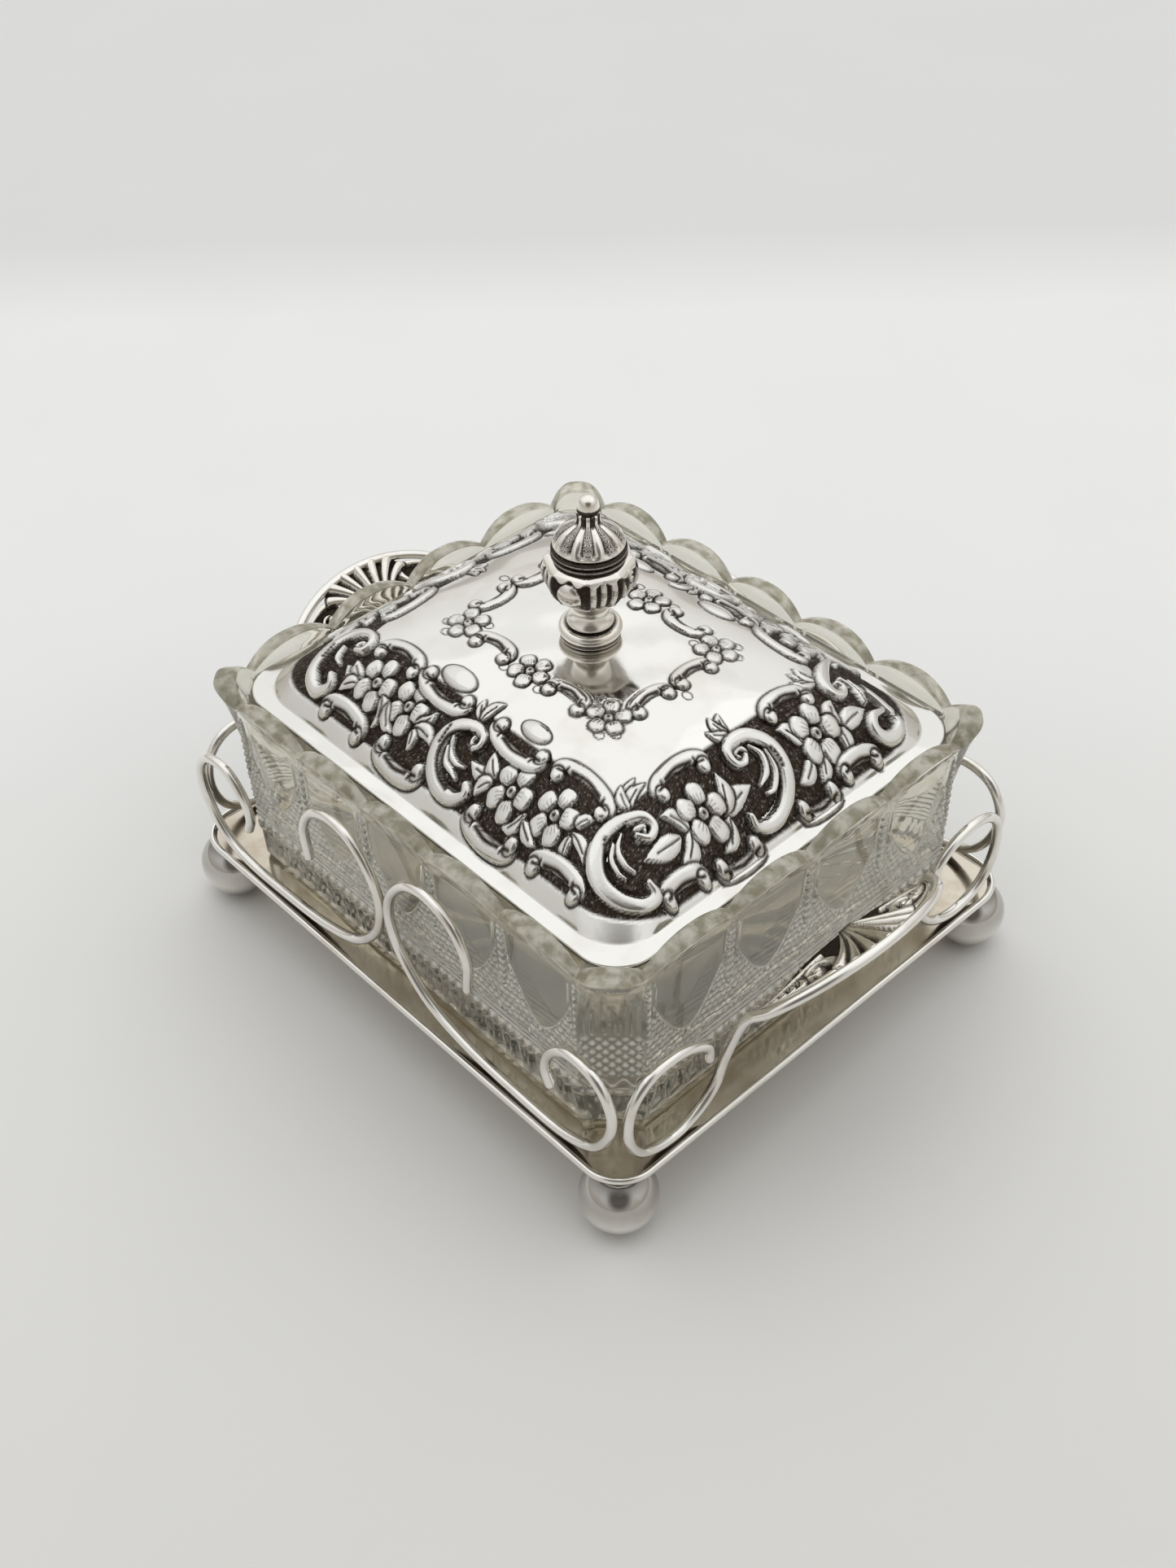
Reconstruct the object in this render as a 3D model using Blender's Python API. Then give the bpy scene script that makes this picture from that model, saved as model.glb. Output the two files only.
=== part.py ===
"""Footed silver-plate stand with a lift-out pressed-glass dish and an embossed lid.

Frame: metres, Z up, origin on the table under the middle of the object,
long axis (handle to handle) along X.
"""

import bpy
import bmesh
from math import atan2, cos, pi, radians, sin, sqrt
from mathutils import Vector

MM = 0.001
GAP = 0.3                       # clearance between neighbouring pieces

# ball feet
BALL_R = 9.5
BALL_CZ = 9.3                   # centre height: leaves a small worn flat at z = 0
BALL_TOP = 17.6
FOOT_X = 75.8
FOOT_Y = 64.5
COLLAR_R = 5.2

# tray
TRAY_X = 83.0
TRAY_Y = 71.6
TRAY_R = 11.0
TRAY_Z0 = 19.3
TRAY_Z1 = 20.2
RIM_W = 0.8                     # rolled rim, half width and half height
RIM_H = 1.05
RIM_Z = 20.35

# gallery wire
WIRE_R = 1.3
SIDE_Y = 68.4                   # plane of the long-side scrolls
END_X = 79.8                    # plane of the end scrolls

# handles
ARCH_HALF = 32.5                # half width of the handle arch
ARCH_H = 23.7                   # its height along the leaning plane
ARCH_LEAN = radians(45)
PIVOT_Z = {1: 46.0, -1: 47.6}   # where the arch starts leaning out, +X and -X handle
PLATE_T = 2.0

# glass dish
GLASS_X = 72.8
GLASS_Y = 63.56
GLASS_C = 10.9                  # corner chamfer
GLASS_Z0 = TRAY_Z1 + GAP
FLOOR_Z = 25.5
LEDGE_Z = 70.9
VALLEY_Z = 72.5
SCALLOP_H = 4.2
SCALLOP_OUT = 1.7
SCALLOP_ROUND = 2.2
CORNER_H = 4.0
CORNER_OUT = 5.9
CORNER_ROUND = 3.0
SIDE_SCALLOPS = 5
END_SCALLOPS = 4

# lid
LID_X = 69.2
LID_Y = 58.6
LID_R = 11.0
LID_T = 1.1
LID_Z = LEDGE_Z + GAP + LID_T   # upper face of the flange
LID_RISE = 22.7
LID_FLANGE = 3.6
LID_SHOULDER = 41.9
TOP_Z = LID_Z + LID_RISE

# finial, heights from the lid upward
STEM_H = 7.3
KNOP_H = 11.0
BAND_H = 2.8
CAP_H = 8.5
BORE_R = 1.9
STUD_R = 1.6


# ---------------------------------------------------------------- helpers

def clear_scene():
    for ob in list(bpy.data.objects):
        bpy.data.objects.remove(ob, do_unlink=True)


def material(name, rgb, metallic, roughness, alpha=1.0, transmission=0.0):
    mat = bpy.data.materials.new(name)
    mat.use_nodes = True
    bsdf = mat.node_tree.nodes["Principled BSDF"]
    bsdf.inputs["Base Color"].default_value = (*rgb, 1.0)
    bsdf.inputs["Metallic"].default_value = metallic
    bsdf.inputs["Roughness"].default_value = roughness
    bsdf.inputs["Alpha"].default_value = alpha
    bsdf.inputs["Transmission Weight"].default_value = transmission
    return mat


def add_object(name, mesh, mat, at=(0, 0, 0), parent=None, turn=None, smooth=40):
    """Link one mesh as one named piece; at is in millimetres."""
    ob = bpy.data.objects.new(name, mesh)
    bpy.context.scene.collection.objects.link(ob)
    if not mesh.materials:
        mesh.materials.append(mat)
    if smooth:
        mesh.shade_smooth()
        mesh.set_sharp_from_angle(angle=radians(smooth))
    ob.location = Vector(at) * MM
    if turn is not None:
        ob.rotation_euler = turn
    if parent is not None:
        ob.parent = parent
        ob.location = Vector(at) * MM - parent.location
    return ob


def mesh_from(name, verts, faces):
    mesh = bpy.data.meshes.new(name)
    mesh.from_pydata([Vector(v) * MM for v in verts], [], faces)
    bm = bmesh.new()
    bm.from_mesh(mesh)
    bmesh.ops.remove_doubles(bm, verts=bm.verts, dist=1e-7)
    bmesh.ops.recalc_face_normals(bm, faces=bm.faces)
    bm.to_mesh(mesh)
    bm.free()
    return mesh


def loft(name, rings, closed=False):
    """Skin a list of equal-length closed rings; cap both ends unless closed."""
    n = len(rings[0])
    verts = [p for ring in rings for p in ring]
    faces = []
    last = len(rings) if closed else len(rings) - 1
    for k in range(last):
        a = k * n
        b = ((k + 1) % len(rings)) * n
        for i in range(n):
            j = (i + 1) % n
            faces.append((a + i, a + j, b + j, b + i))
    if not closed:
        faces.append(tuple(reversed(range(n))))
        faces.append(tuple(range((len(rings) - 1) * n, len(rings) * n)))
    return mesh_from(name, verts, faces)


def circle_rings(profile, steps, facets):
    """One ring of points per (radius, z) pair; facets turns it into a prism shape."""
    count = facets or steps
    phase = pi / count if facets else 0.0
    rings = []
    for r, z in profile:
        ring = []
        for i in range(count):
            a = 2 * pi * i / count + phase
            ring.append((r * cos(a), r * sin(a), z))
        rings.append(ring)
    return rings


def turned(name, profile, steps=24, facets=0):
    """Solid of revolution standing on (radius, z) points, capped flat at both ends."""
    return loft(name, circle_rings(profile, steps, facets))


def bored(name, outside, bore, z0, z1, steps=24, facets=0):
    """Solid of revolution with a plain hole of radius bore from z0 to z1."""
    profile = [(bore, z0)] + outside + [(bore, z1)]
    return loft(name, circle_rings(profile, steps, facets), closed=True)


def rounded_rect(hx, hy, r, per_corner=8, per_side=6):
    """Counter-clockwise rounded rectangle, starting on the +X side."""
    pts = []
    centres = [(hx - r, hy - r), (-hx + r, hy - r), (-hx + r, -hy + r), (hx - r, -hy + r)]
    for q, (cx, cy) in enumerate(centres):
        arc = []
        for i in range(per_corner + 1):
            a = pi / 2 * q + pi / 2 * i / per_corner
            arc.append((cx + r * cos(a), cy + r * sin(a)))
        if pts:
            x0, y0 = pts[-1]
            x1, y1 = arc[0]
            for i in range(1, per_side):
                t = i / per_side
                pts.append((x0 + (x1 - x0) * t, y0 + (y1 - y0) * t))
        pts.extend(arc)
    x0, y0 = pts[-1]
    x1, y1 = pts[0]
    for i in range(1, per_side):
        t = i / per_side
        pts.append((x0 + (x1 - x0) * t, y0 + (y1 - y0) * t))
    return pts


def catmull(points, per_span):
    """Smooth open curve through the points."""
    pts = [Vector(p) for p in points]
    pts = [2 * pts[0] - pts[1]] + pts + [2 * pts[-1] - pts[-2]]
    out = []
    for k in range(1, len(pts) - 2):
        p0, p1, p2, p3 = pts[k - 1:k + 3]
        for i in range(per_span):
            t = i / per_span
            a = 2 * p1 + (p2 - p0) * t
            b = (2 * p0 - 5 * p1 + 4 * p2 - p3) * t * t
            c = (3 * p1 - p0 - 3 * p2 + p3) * t * t * t
            out.append((a + b + c) / 2)
    out.append(pts[-2])
    return out


def sweep(name, path, radius, sides=8, closed=False, up=Vector((0, 0, 1)), squash=(1, 1)):
    """Round or oval wire along a path, with flat ends."""
    n = len(path)
    rings = []
    side = None
    for k, p in enumerate(path):
        if closed:
            tangent = (path[(k + 1) % n] - path[k - 1]).normalized()
        else:
            tangent = (path[min(k + 1, n - 1)] - path[max(k - 1, 0)]).normalized()
        if side is None:
            side = tangent.cross(up).normalized()
        else:
            side = (side - tangent * side.dot(tangent)).normalized()
        if closed:
            side = tangent.cross(up).normalized()
        other = tangent.cross(side)
        ring = []
        for i in range(sides):
            a = 2 * pi * (i + 0.5) / sides
            step = side * (radius * squash[0] * cos(a)) + other * (radius * squash[1] * sin(a))
            ring.append(p + step)
        rings.append(ring)
    return loft(name, rings, closed=closed)


# ---------------------------------------------------------------- stand

def build_tray(silver):
    """Flat footed plate; the other parts of the stand are soldered to it."""
    edge = TRAY_X - 2 * RIM_W - GAP
    ring = rounded_rect(edge, edge - TRAY_X + TRAY_Y, TRAY_R - 1.9, 6, 1)
    rings = [[(x, y, z) for x, y in ring] for z in (TRAY_Z0, TRAY_Z1)]
    tray = add_object("tray_plate", loft("tray_plate", rings), silver)
    line = rounded_rect(TRAY_X - RIM_W, TRAY_Y - RIM_W, TRAY_R - RIM_W, 8, 1)
    path = [Vector((x, y, RIM_Z)) for x, y in line]
    mesh = sweep("tray_rim", path, RIM_W, 8, True, squash=(1, RIM_H / RIM_W))
    add_object("tray_rim", mesh, silver)
    return tray


def build_feet(silver, dark):
    profile = []
    low = atan2(-BALL_CZ, sqrt(BALL_R ** 2 - BALL_CZ ** 2))
    high = atan2(BALL_TOP - BALL_CZ, sqrt(BALL_R ** 2 - (BALL_TOP - BALL_CZ) ** 2))
    for i in range(10):
        a = low + (high - low) * i / 9
        profile.append((BALL_R * cos(a), BALL_CZ + BALL_R * sin(a)))
    profile[0] = (profile[0][0], 0.0)
    ball = turned("ball_foot", profile, 22)
    z0 = BALL_TOP + GAP
    z1 = TRAY_Z0 - GAP
    collar = turned("foot_collar", [(COLLAR_R - 0.5, z0), (COLLAR_R, z0 + 0.4), (COLLAR_R, z1)], 16)
    corners = {"front_left": (-1, -1), "front_right": (1, -1), "back_right": (1, 1), "back_left": (-1, 1)}
    for tag, (sx, sy) in corners.items():
        at = (sx * FOOT_X, sy * FOOT_Y, 0)
        add_object("foot_" + tag, ball, silver, at)
        add_object("foot_collar_" + tag, collar, dark, at)


def side_scroll_path():
    """One C-scroll seen from outside, x from mid-side to corner, both ends curling in."""
    turns = [(30.2, 46.0), (30.6, 55.5), (26.0, 63.5), (17.8, 67.0), (9.7, 64.7),
             (3.5, 57.0), (1.7, 47.8), (5.0, 37.8), (14.2, 28.3), (28.0, 23.6),
             (45.0, 22.0), (60.5, 22.0), (71.2, 26.2), (76.8, 35.0), (77.6, 44.0),
             (73.0, 51.2), (64.6, 52.8), (58.6, 48.2), (56.3, 41.4), (57.8, 36.4)]
    return catmull([(x, 0, z) for x, z in turns], 2)


def build_side_scrolls(silver):
    path = side_scroll_path()
    for side, word in ((-1, "front"), (1, "back")):
        for half, tag in ((-1, "left"), (1, "right")):
            line = [Vector((half * p.x, side * SIDE_Y, p.z)) for p in path]
            name = "side_scroll_%s_%s" % (word, tag)
            mesh = sweep(name, line, WIRE_R, 8, up=Vector((0, 1, 0)))
            add_object(name, mesh, silver)


def arch_point(side, angle, inset=0.0, lift=0.0):
    """Point on the leaning handle arch; angle runs -90..90 deg across it."""
    half = ARCH_HALF - inset
    high = ARCH_H - inset
    s = high * cos(angle)
    y = half * sin(angle)
    x = END_X + s * sin(ARCH_LEAN) - lift * cos(ARCH_LEAN)
    z = PIVOT_Z[side] + s * cos(ARCH_LEAN) + lift * sin(ARCH_LEAN)
    return Vector((side * x, y, z))


def end_frame_path(side):
    """Curl, arch, curl: one wire per end, standing on the tray and carrying the handle."""
    curl = [(40.0, 40.6), (41.0, 45.4), (48.0, 49.8), (57.6, 50.0), (64.0, 44.4),
            (65.2, 34.2), (61.0, 25.4), (52.0, 22.0), (43.8, 23.8), (37.6, 29.0),
            (34.6, 36.4)]
    half = [Vector((side * END_X, y, z)) for y, z in curl]
    arch = [arch_point(side, radians(a)) for a in range(80, -81, -16)]
    other = [Vector((p.x, -p.y, p.z)) for p in reversed(half)]
    return catmull(half + arch + other, 2)


def handle_sheet(side, u, v):
    """Middle surface of the cast handle: u across (-1..1), v from inner edge to arch."""
    angle = radians(74) * u
    outer = arch_point(side, angle, WIRE_R + GAP + PLATE_T / 2 - 0.4)
    droop = PIVOT_Z[side] + 9.0 - 6.0 * u * u
    inner = Vector((side * (END_X + 3.2), 26.0 * sin(angle) / sin(radians(74)), droop))
    inner = inner.lerp(outer, 0.75 * u ** 4)
    return inner.lerp(outer, v)


def build_handles(silver, dark):
    for side, tag in ((1, "right"), (-1, "left")):
        path = end_frame_path(side)
        name = "end_frame_" + tag
        add_object(name, sweep(name, path, WIRE_R, 8, up=Vector((1, 0, 0))), silver)
        nu, nv = 20, 4
        rows = []
        for i in range(nu + 1):
            u = 2.0 * i / nu - 1.0
            row = [handle_sheet(side, u, j / nv) for j in range(nv + 1)]
            along = handle_sheet(side, min(u + 0.02, 1), 0.5) - handle_sheet(side, max(u - 0.02, -1), 0.5)
            across = row[-1] - row[0]
            normal = along.cross(across).normalized()
            top = [p + normal * (PLATE_T / 2) for p in row]
            low = [p - normal * (PLATE_T / 2) for p in reversed(row)]
            rows.append(top + low)
        add_object("handle_" + tag, loft("handle_" + tag, rows), dark)


# ---------------------------------------------------------------- dish

def offset_octagon(inset):
    """Scale factors that move each side of the chamfered rectangle in by inset."""
    x = GLASS_X - inset
    y = GLASS_Y - inset
    c = GLASS_C - inset * (2 - sqrt(2))
    return x, y, max(c, 0.5)


def dish_ring(inset, height, flare=0.0, steps=6):
    """One ring of the dish wall. height(bump, corner) gives z."""
    x, y, c = offset_octagon(inset)
    corners = [(x, -y + c), (x, y - c), (x - c, y), (-x + c, y), (-x, y - c),
               (-x, -y + c), (-x + c, -y), (x - c, -y)]
    counts = [END_SCALLOPS, 1, SIDE_SCALLOPS, 1] * 2
    ring = []
    for k in range(8):
        a = Vector(corners[k])
        b = Vector(corners[(k + 1) % 8])
        way = (b - a).normalized()
        normal = Vector((way.y, -way.x))
        total = counts[k] * steps
        for m in range(total):
            phase = (m % steps) / steps
            corner = counts[k] == 1
            bump = 1 - abs(2 * phase - 1) ** (CORNER_ROUND if corner else SCALLOP_ROUND)
            out = (CORNER_OUT if corner else SCALLOP_OUT) * bump * flare
            p = a.lerp(b, m / total) + normal * out
            ring.append((p.x, p.y, height(bump, corner)))
    return ring


def level(z):
    return lambda bump, corner: z


def rim_height(drop=0.0):
    def height(bump, corner):
        return VALLEY_Z - drop + (CORNER_H if corner else SCALLOP_H) * bump
    return height


def build_dish(glass, parent=None):
    rings = [
        dish_ring(2.6, level(GLASS_Z0)),
        dish_ring(1.2, level(GLASS_Z0 + 1.2)),
        dish_ring(0.9, level(31.0)),
        dish_ring(0.1, level(32.4)),
        dish_ring(0.4, level(34.0)),
        dish_ring(0.0, level(54.0)),
        dish_ring(0.0, level(64.0), 0.4),
        dish_ring(-0.3, rim_height(1.1), 1.0),
        dish_ring(0.5, rim_height(0.25), 1.0),
        dish_ring(2.0, rim_height(), 0.62),
        dish_ring(2.45, rim_height(0.5), 0.5),
        dish_ring(2.55, level(LEDGE_Z)),
        dish_ring(7.0, level(LEDGE_Z - 0.3)),
        dish_ring(5.6, level(64.0)),
        dish_ring(6.4, level(FLOOR_Z + 4.0)),
        dish_ring(9.5, level(FLOOR_Z)),
    ]
    return add_object("glass_dish", loft("glass_dish", rings), glass, parent=parent, smooth=30)


# ---------------------------------------------------------------- lid

def lid_height(inset):
    t = min(max((inset - LID_FLANGE) / LID_SHOULDER, 0.0), 1.0)
    return LID_Z + 0.3 * min(inset / LID_FLANGE, 1.0) + (LID_RISE - 0.3) * (1 - (1 - t) ** 2.3)


def lid_ring(inset, z, per_corner=6, per_side=4):
    r = LID_R + inset * 0.35
    hx = LID_X - inset
    hy = LID_Y - inset
    pts = rounded_rect(hx, hy, min(r, hy - 0.5), per_corner, per_side)
    return [(x, y, z) for x, y in pts]


def hole_ring(radius, z, per_corner=6, per_side=4):
    ring = []
    for x, y in rounded_rect(LID_X, LID_Y, LID_R, per_corner, per_side):
        a = atan2(y, x)
        ring.append((radius * cos(a), radius * sin(a), z))
    return ring


def build_lid(silver, parent=None):
    insets = [0.0, LID_FLANGE, 6.0, 9.5, 14.0, 19.5, 26.0, 34.0, LID_FLANGE + LID_SHOULDER]
    top = [lid_ring(e, lid_height(e)) for e in insets]
    hole_top = [hole_ring(6.0, TOP_Z), hole_ring(BORE_R, TOP_Z)]
    hole_low = [hole_ring(BORE_R, TOP_Z - LID_T), hole_ring(6.0, TOP_Z - LID_T)]
    low = [lid_ring(e, lid_height(e) - LID_T) for e in reversed(insets)]
    mesh = loft("lid_shell", top + hole_top + hole_low + low, closed=True)
    return add_object("lid_shell", mesh, silver, parent=parent)


def build_finial(silver, dark, parent):
    z = TOP_Z + GAP
    base = [(7.7, z), (7.9, z + 0.3), (7.9, z + 0.6), (7.4, z + 0.8)]
    for i in range(9):
        a = radians(-75 + 150 * i / 8)
        base.append((6.9 + 1.45 * cos(a), z + 2.3 + 1.45 * sin(a)))
    base.append((6.2, z + 3.7))
    add_object("finial_base", bored("finial_base", base, BORE_R, z, z + 3.7), silver, parent=parent)

    z = z + 3.7 + GAP
    stem = [(6.1, z), (6.2, z + 0.6), (5.4, z + 1.8), (4.8, z + 3.2), (4.8, z + 4.4),
            (5.4, z + 6.0), (6.0, z + STEM_H)]
    add_object("finial_stem", bored("finial_stem", stem, BORE_R, z, z + STEM_H), silver, parent=parent)

    z = z + STEM_H + GAP
    body = [(5.9, z), (8.4, z + 0.7), (10.8, z + 2.6), (12.3, z + 5.0), (12.9, z + 7.2),
            (12.8, z + 8.8), (11.8, z + 10.2), (10.6, z + KNOP_H)]
    inner = [(0.01, z + 4.0), (BORE_R, z + 4.0)]
    profile = inner + [(BORE_R, z)] + body + [(0.01, z + KNOP_H)]
    mesh = turned("finial_body", profile, facets=8)
    add_object("finial_body", mesh, dark, parent=parent)
    stud_top = z + 4.0 - GAP

    z = z + KNOP_H + GAP
    ring = [(9.8, z), (10.3, z + 0.5), (10.3, z + 1.0), (9.7, z + 1.4), (10.2, z + 1.8),
            (10.2, z + 2.4), (9.6, z + BAND_H)]
    add_object("finial_ring", turned("finial_ring", ring), dark, parent=parent)

    z = z + BAND_H + GAP
    cap = [(9.3, z), (9.7, z + 0.5), (9.5, z + 1.3), (8.6, z + 2.7), (7.0, z + 4.1),
           (5.0, z + 5.2), (3.4, z + 6.0), (3.1, z + 7.8), (3.0, z + CAP_H)]
    add_object("finial_cap", turned("finial_cap", cap), silver, parent=parent)

    z = z + CAP_H + GAP
    ball = [(2.5, z), (2.9, z + 0.3), (2.9, z + 0.9)]
    r = 2.85
    cz = z + 1.35
    for i in range(9):
        a = radians(-5 + 90 * i / 8)
        ball.append((max(r * cos(a), 0.02), cz + r * sin(a)))
    add_object("finial_ball", turned("finial_ball", ball, 16), silver, parent=parent)

    low = TOP_Z - LID_T - GAP
    washer = [(6.5, low - 0.9), (6.5, low)]
    add_object("finial_washer", bored("finial_washer", washer, BORE_R, low - 0.9, low), dark, parent=parent)
    nut_z = low - 0.9 - GAP - 3.2
    nut = [(4.6, nut_z), (4.6, nut_z + 3.2)]
    mesh = bored("finial_nut", nut, BORE_R, nut_z, nut_z + 3.2, facets=6)
    add_object("finial_nut", mesh, dark, parent=parent, smooth=0)
    stud = [(STUD_R, nut_z - 1.0), (STUD_R, stud_top)]
    add_object("finial_stud", turned("finial_stud", stud, 16), dark, parent=parent)


def main():
    clear_scene()
    silver = material("silver_plate", (0.86, 0.85, 0.83), 1.0, 0.12)
    dark = material("oxidised_silver", (0.35, 0.33, 0.31), 1.0, 0.35)
    glass = material("pressed_glass", (0.93, 0.94, 0.90), 0.0, 0.05, 0.35, 0.6)
    build_tray(silver)
    build_feet(silver, dark)
    build_side_scrolls(silver)
    build_handles(silver, dark)
    dish = build_dish(glass)
    lid = build_lid(silver, dish)
    build_finial(silver, dark, lid)


main()
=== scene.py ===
"""Covered glass dish on a silver-plated stand: the finished look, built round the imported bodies.

Lengths are in millimetres until a mesh is made; lights, camera and node scales are in metres.
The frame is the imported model's own: origin on the table under the middle of the object, X from
handle to handle, Z up.
"""

from math import atan2, cos, pi, radians, sin, sqrt

import bpy
import numpy as np
from mathutils import Matrix, Vector


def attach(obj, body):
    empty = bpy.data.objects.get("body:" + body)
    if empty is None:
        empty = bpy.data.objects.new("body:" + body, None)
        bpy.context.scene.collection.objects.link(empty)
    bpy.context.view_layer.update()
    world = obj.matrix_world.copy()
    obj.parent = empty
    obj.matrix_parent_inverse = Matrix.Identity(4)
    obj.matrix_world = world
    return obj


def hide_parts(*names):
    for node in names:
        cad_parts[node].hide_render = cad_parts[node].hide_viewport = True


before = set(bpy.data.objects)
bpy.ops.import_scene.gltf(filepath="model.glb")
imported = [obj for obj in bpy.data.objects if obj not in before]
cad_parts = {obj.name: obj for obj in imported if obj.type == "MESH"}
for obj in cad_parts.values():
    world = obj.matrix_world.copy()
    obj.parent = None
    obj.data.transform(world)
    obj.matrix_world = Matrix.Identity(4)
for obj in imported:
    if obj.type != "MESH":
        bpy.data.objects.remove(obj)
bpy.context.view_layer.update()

MM = 0.001                      # metres in one unit of this script
GAP = 0.3                       # clearance that touching solids keep

# stand
BALL_R, BALL_CZ, BALL_TOP = 9.5, 9.3, 17.6
FOOT_X, FOOT_Y = 75.8, 64.5
TRAY_X, TRAY_Y, TRAY_R = 83.0, 71.6, 11.0
RIM_W, RIM_H, RIM_Z = 0.8, 1.05, 20.35
WIRE_R = 1.3
SIDE_Y, END_X = 68.4, 79.8
ARCH_HALF, ARCH_H, ARCH_LEAN = 32.5, 23.7, radians(45)
PIVOT_Z = {1: 46.0, -1: 47.6}
PLATE_T = 2.0

# dish
GLASS_X, GLASS_Y, GLASS_C, GLASS_Z0 = 72.8, 63.56, 10.9, 20.5
FLOOR_Z, LEDGE_Z, VALLEY_Z = 25.5, 70.9, 72.5
SCALLOP_H, SCALLOP_OUT, SCALLOP_ROUND = 4.2, 1.7, 2.2
CORNER_H, CORNER_OUT, CORNER_ROUND = 4.0, 5.9, 3.0
SIDE_SCALLOPS, END_SCALLOPS = 5, 4

# finial
BASE_H, STEM_H, KNOP_H, BAND_H, CAP_H = 3.7, 7.3, 11.0, 2.8, 8.5
KNOP_TURN = radians(20.5)
CAP_FLUTES = 8
# share of the CAD's width that each piece keeps outside the stud hole
SLIM = {"base": 0.90, "stem": 0.88, "body": 0.93, "ring": 0.84, "cap": 0.84, "ball": 0.70}

# lid
LID_X, LID_Y, LID_R, LID_T = 69.2, 58.6, 11.0, 1.1
WARM = 0.05                     # trace of tarnish that stays on raised ornament
ENGRAVE = 1.35                  # how broad the graver's lines are
LEAFY = 1.2                     # how full the leaves are
LID_Z = LEDGE_Z + GAP + LID_T
LID_RISE, LID_FLANGE, LID_SHOULDER = 22.7, 3.6, 41.9
LID_LIFT, LID_CURVE = 0.3, 2.3  # rise of the flange, and how square the dome is
TOP_Z = LID_Z + LID_RISE
BORE_R = 1.9
PETALS = 5
DRAW = 0.91                     # one unit of the lid's ornament drawing

# wire ends: how far along the dome each ring lies, and the dome's length in wire radii
DOME_STEPS = (0.35, 0.65, 0.88, 0.98)
DOME = 0.8

# studio, in metres and degrees; a light is name, place, height aimed at, width and power
FLOOR_HALF = 3000
FLOOR_AWAY = (-0.738, 0.675, 0.0)
DARK_PATCH = (0.60, -0.55, 0.58)
LIGHTS = (("key", (-0.9, 0.5, 1.5), 0.05, 3.4, 6.2), ("fill", (1.1, 0.9, 1.2), 0.05, 2.2, 1.4),
          ("top", (0.0, 0.1, 1.9), 0.0, 3.2, 4.2))
LENS, SENSOR = 42.2, 36.0
CAMERA_AT = (0.2558, -0.2359, 0.3663)
CAMERA_AZIMUTH, CAMERA_HEIGHT, CAMERA_ROLL = 47.555, 42.61, -1.29


# ---------------------------------------------------------------- mesh helpers

def to_object(name, verts, faces, mat, **values):
    """Make one smooth object from millimetre points.

    faces is a list of arrays, one for each number of corners; every further argument holds a
    value per point, which is stored under the argument's name.
    """
    mesh = bpy.data.meshes.new(name)
    mesh.vertices.add(len(verts))
    mesh.vertices.foreach_set("co", (np.asarray(verts, float) * MM).astype(np.float32).ravel())
    faces = [np.asarray(f, np.int32) for f in faces]
    corners = np.concatenate([f.ravel() for f in faces])
    sides = np.concatenate([np.full(len(f), f.shape[1]) for f in faces])
    mesh.loops.add(len(corners))
    mesh.loops.foreach_set("vertex_index", corners)
    mesh.polygons.add(len(sides))
    mesh.polygons.foreach_set("loop_start", (np.cumsum(sides) - sides).astype(np.int32))
    mesh.update(calc_edges=True)
    mesh.validate()
    for label, value in values.items():
        layer = mesh.attributes.new(label, "FLOAT", "POINT")
        layer.data.foreach_set("value", value)
    mesh.materials.append(mat)
    mesh.shade_smooth()
    ob = bpy.data.objects.new(name, mesh)
    bpy.context.scene.collection.objects.link(ob)
    return ob


def quads(rows, cols, wrap_rows=False, wrap_cols=True):
    """Faces of a rows x cols grid of points."""
    r = np.arange(rows if wrap_rows else rows - 1)
    c = np.arange(cols if wrap_cols else cols - 1)
    r, c = np.meshgrid(r, c, indexing="ij")
    r2 = (r + 1) % rows
    c2 = (c + 1) % cols
    return np.stack([r * cols + c, r * cols + c2, r2 * cols + c2, r2 * cols + c], -1).reshape(-1, 4)


def per_point(value, count):
    """One number per mesh point; the points added at the closed ends get 0."""
    flat = np.zeros(count, np.float32)
    given = np.asarray(value, float).ravel()
    flat[:len(given)] = given
    return flat


def skin(name, rings, mat, dark=None, closed=False, **more):
    """Skin a stack of closed rings (n, m, 3); open stacks close to the middle of each end ring."""
    rings = np.asarray(rings, float)
    n, m, _ = rings.shape
    verts = rings.reshape(-1, 3)
    faces = [quads(n, m, closed)]
    if not closed:
        here = np.arange(m)
        after = (here + 1) % m
        hub = len(verts)
        start = np.column_stack([after, here, np.full(m, hub)])
        end = np.column_stack([(n - 1) * m + here, (n - 1) * m + after, np.full(m, hub + 1)])
        verts = np.vstack([verts, rings[0].mean(0), rings[-1].mean(0)])
        faces.append(np.vstack([start, end]))
    if dark is not None:
        more = {"dark": np.clip(dark, 0, 1), **more}
    values = {label: per_point(value, len(verts)) for label, value in more.items()}
    return to_object(name, verts, faces, mat, **values)


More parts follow.
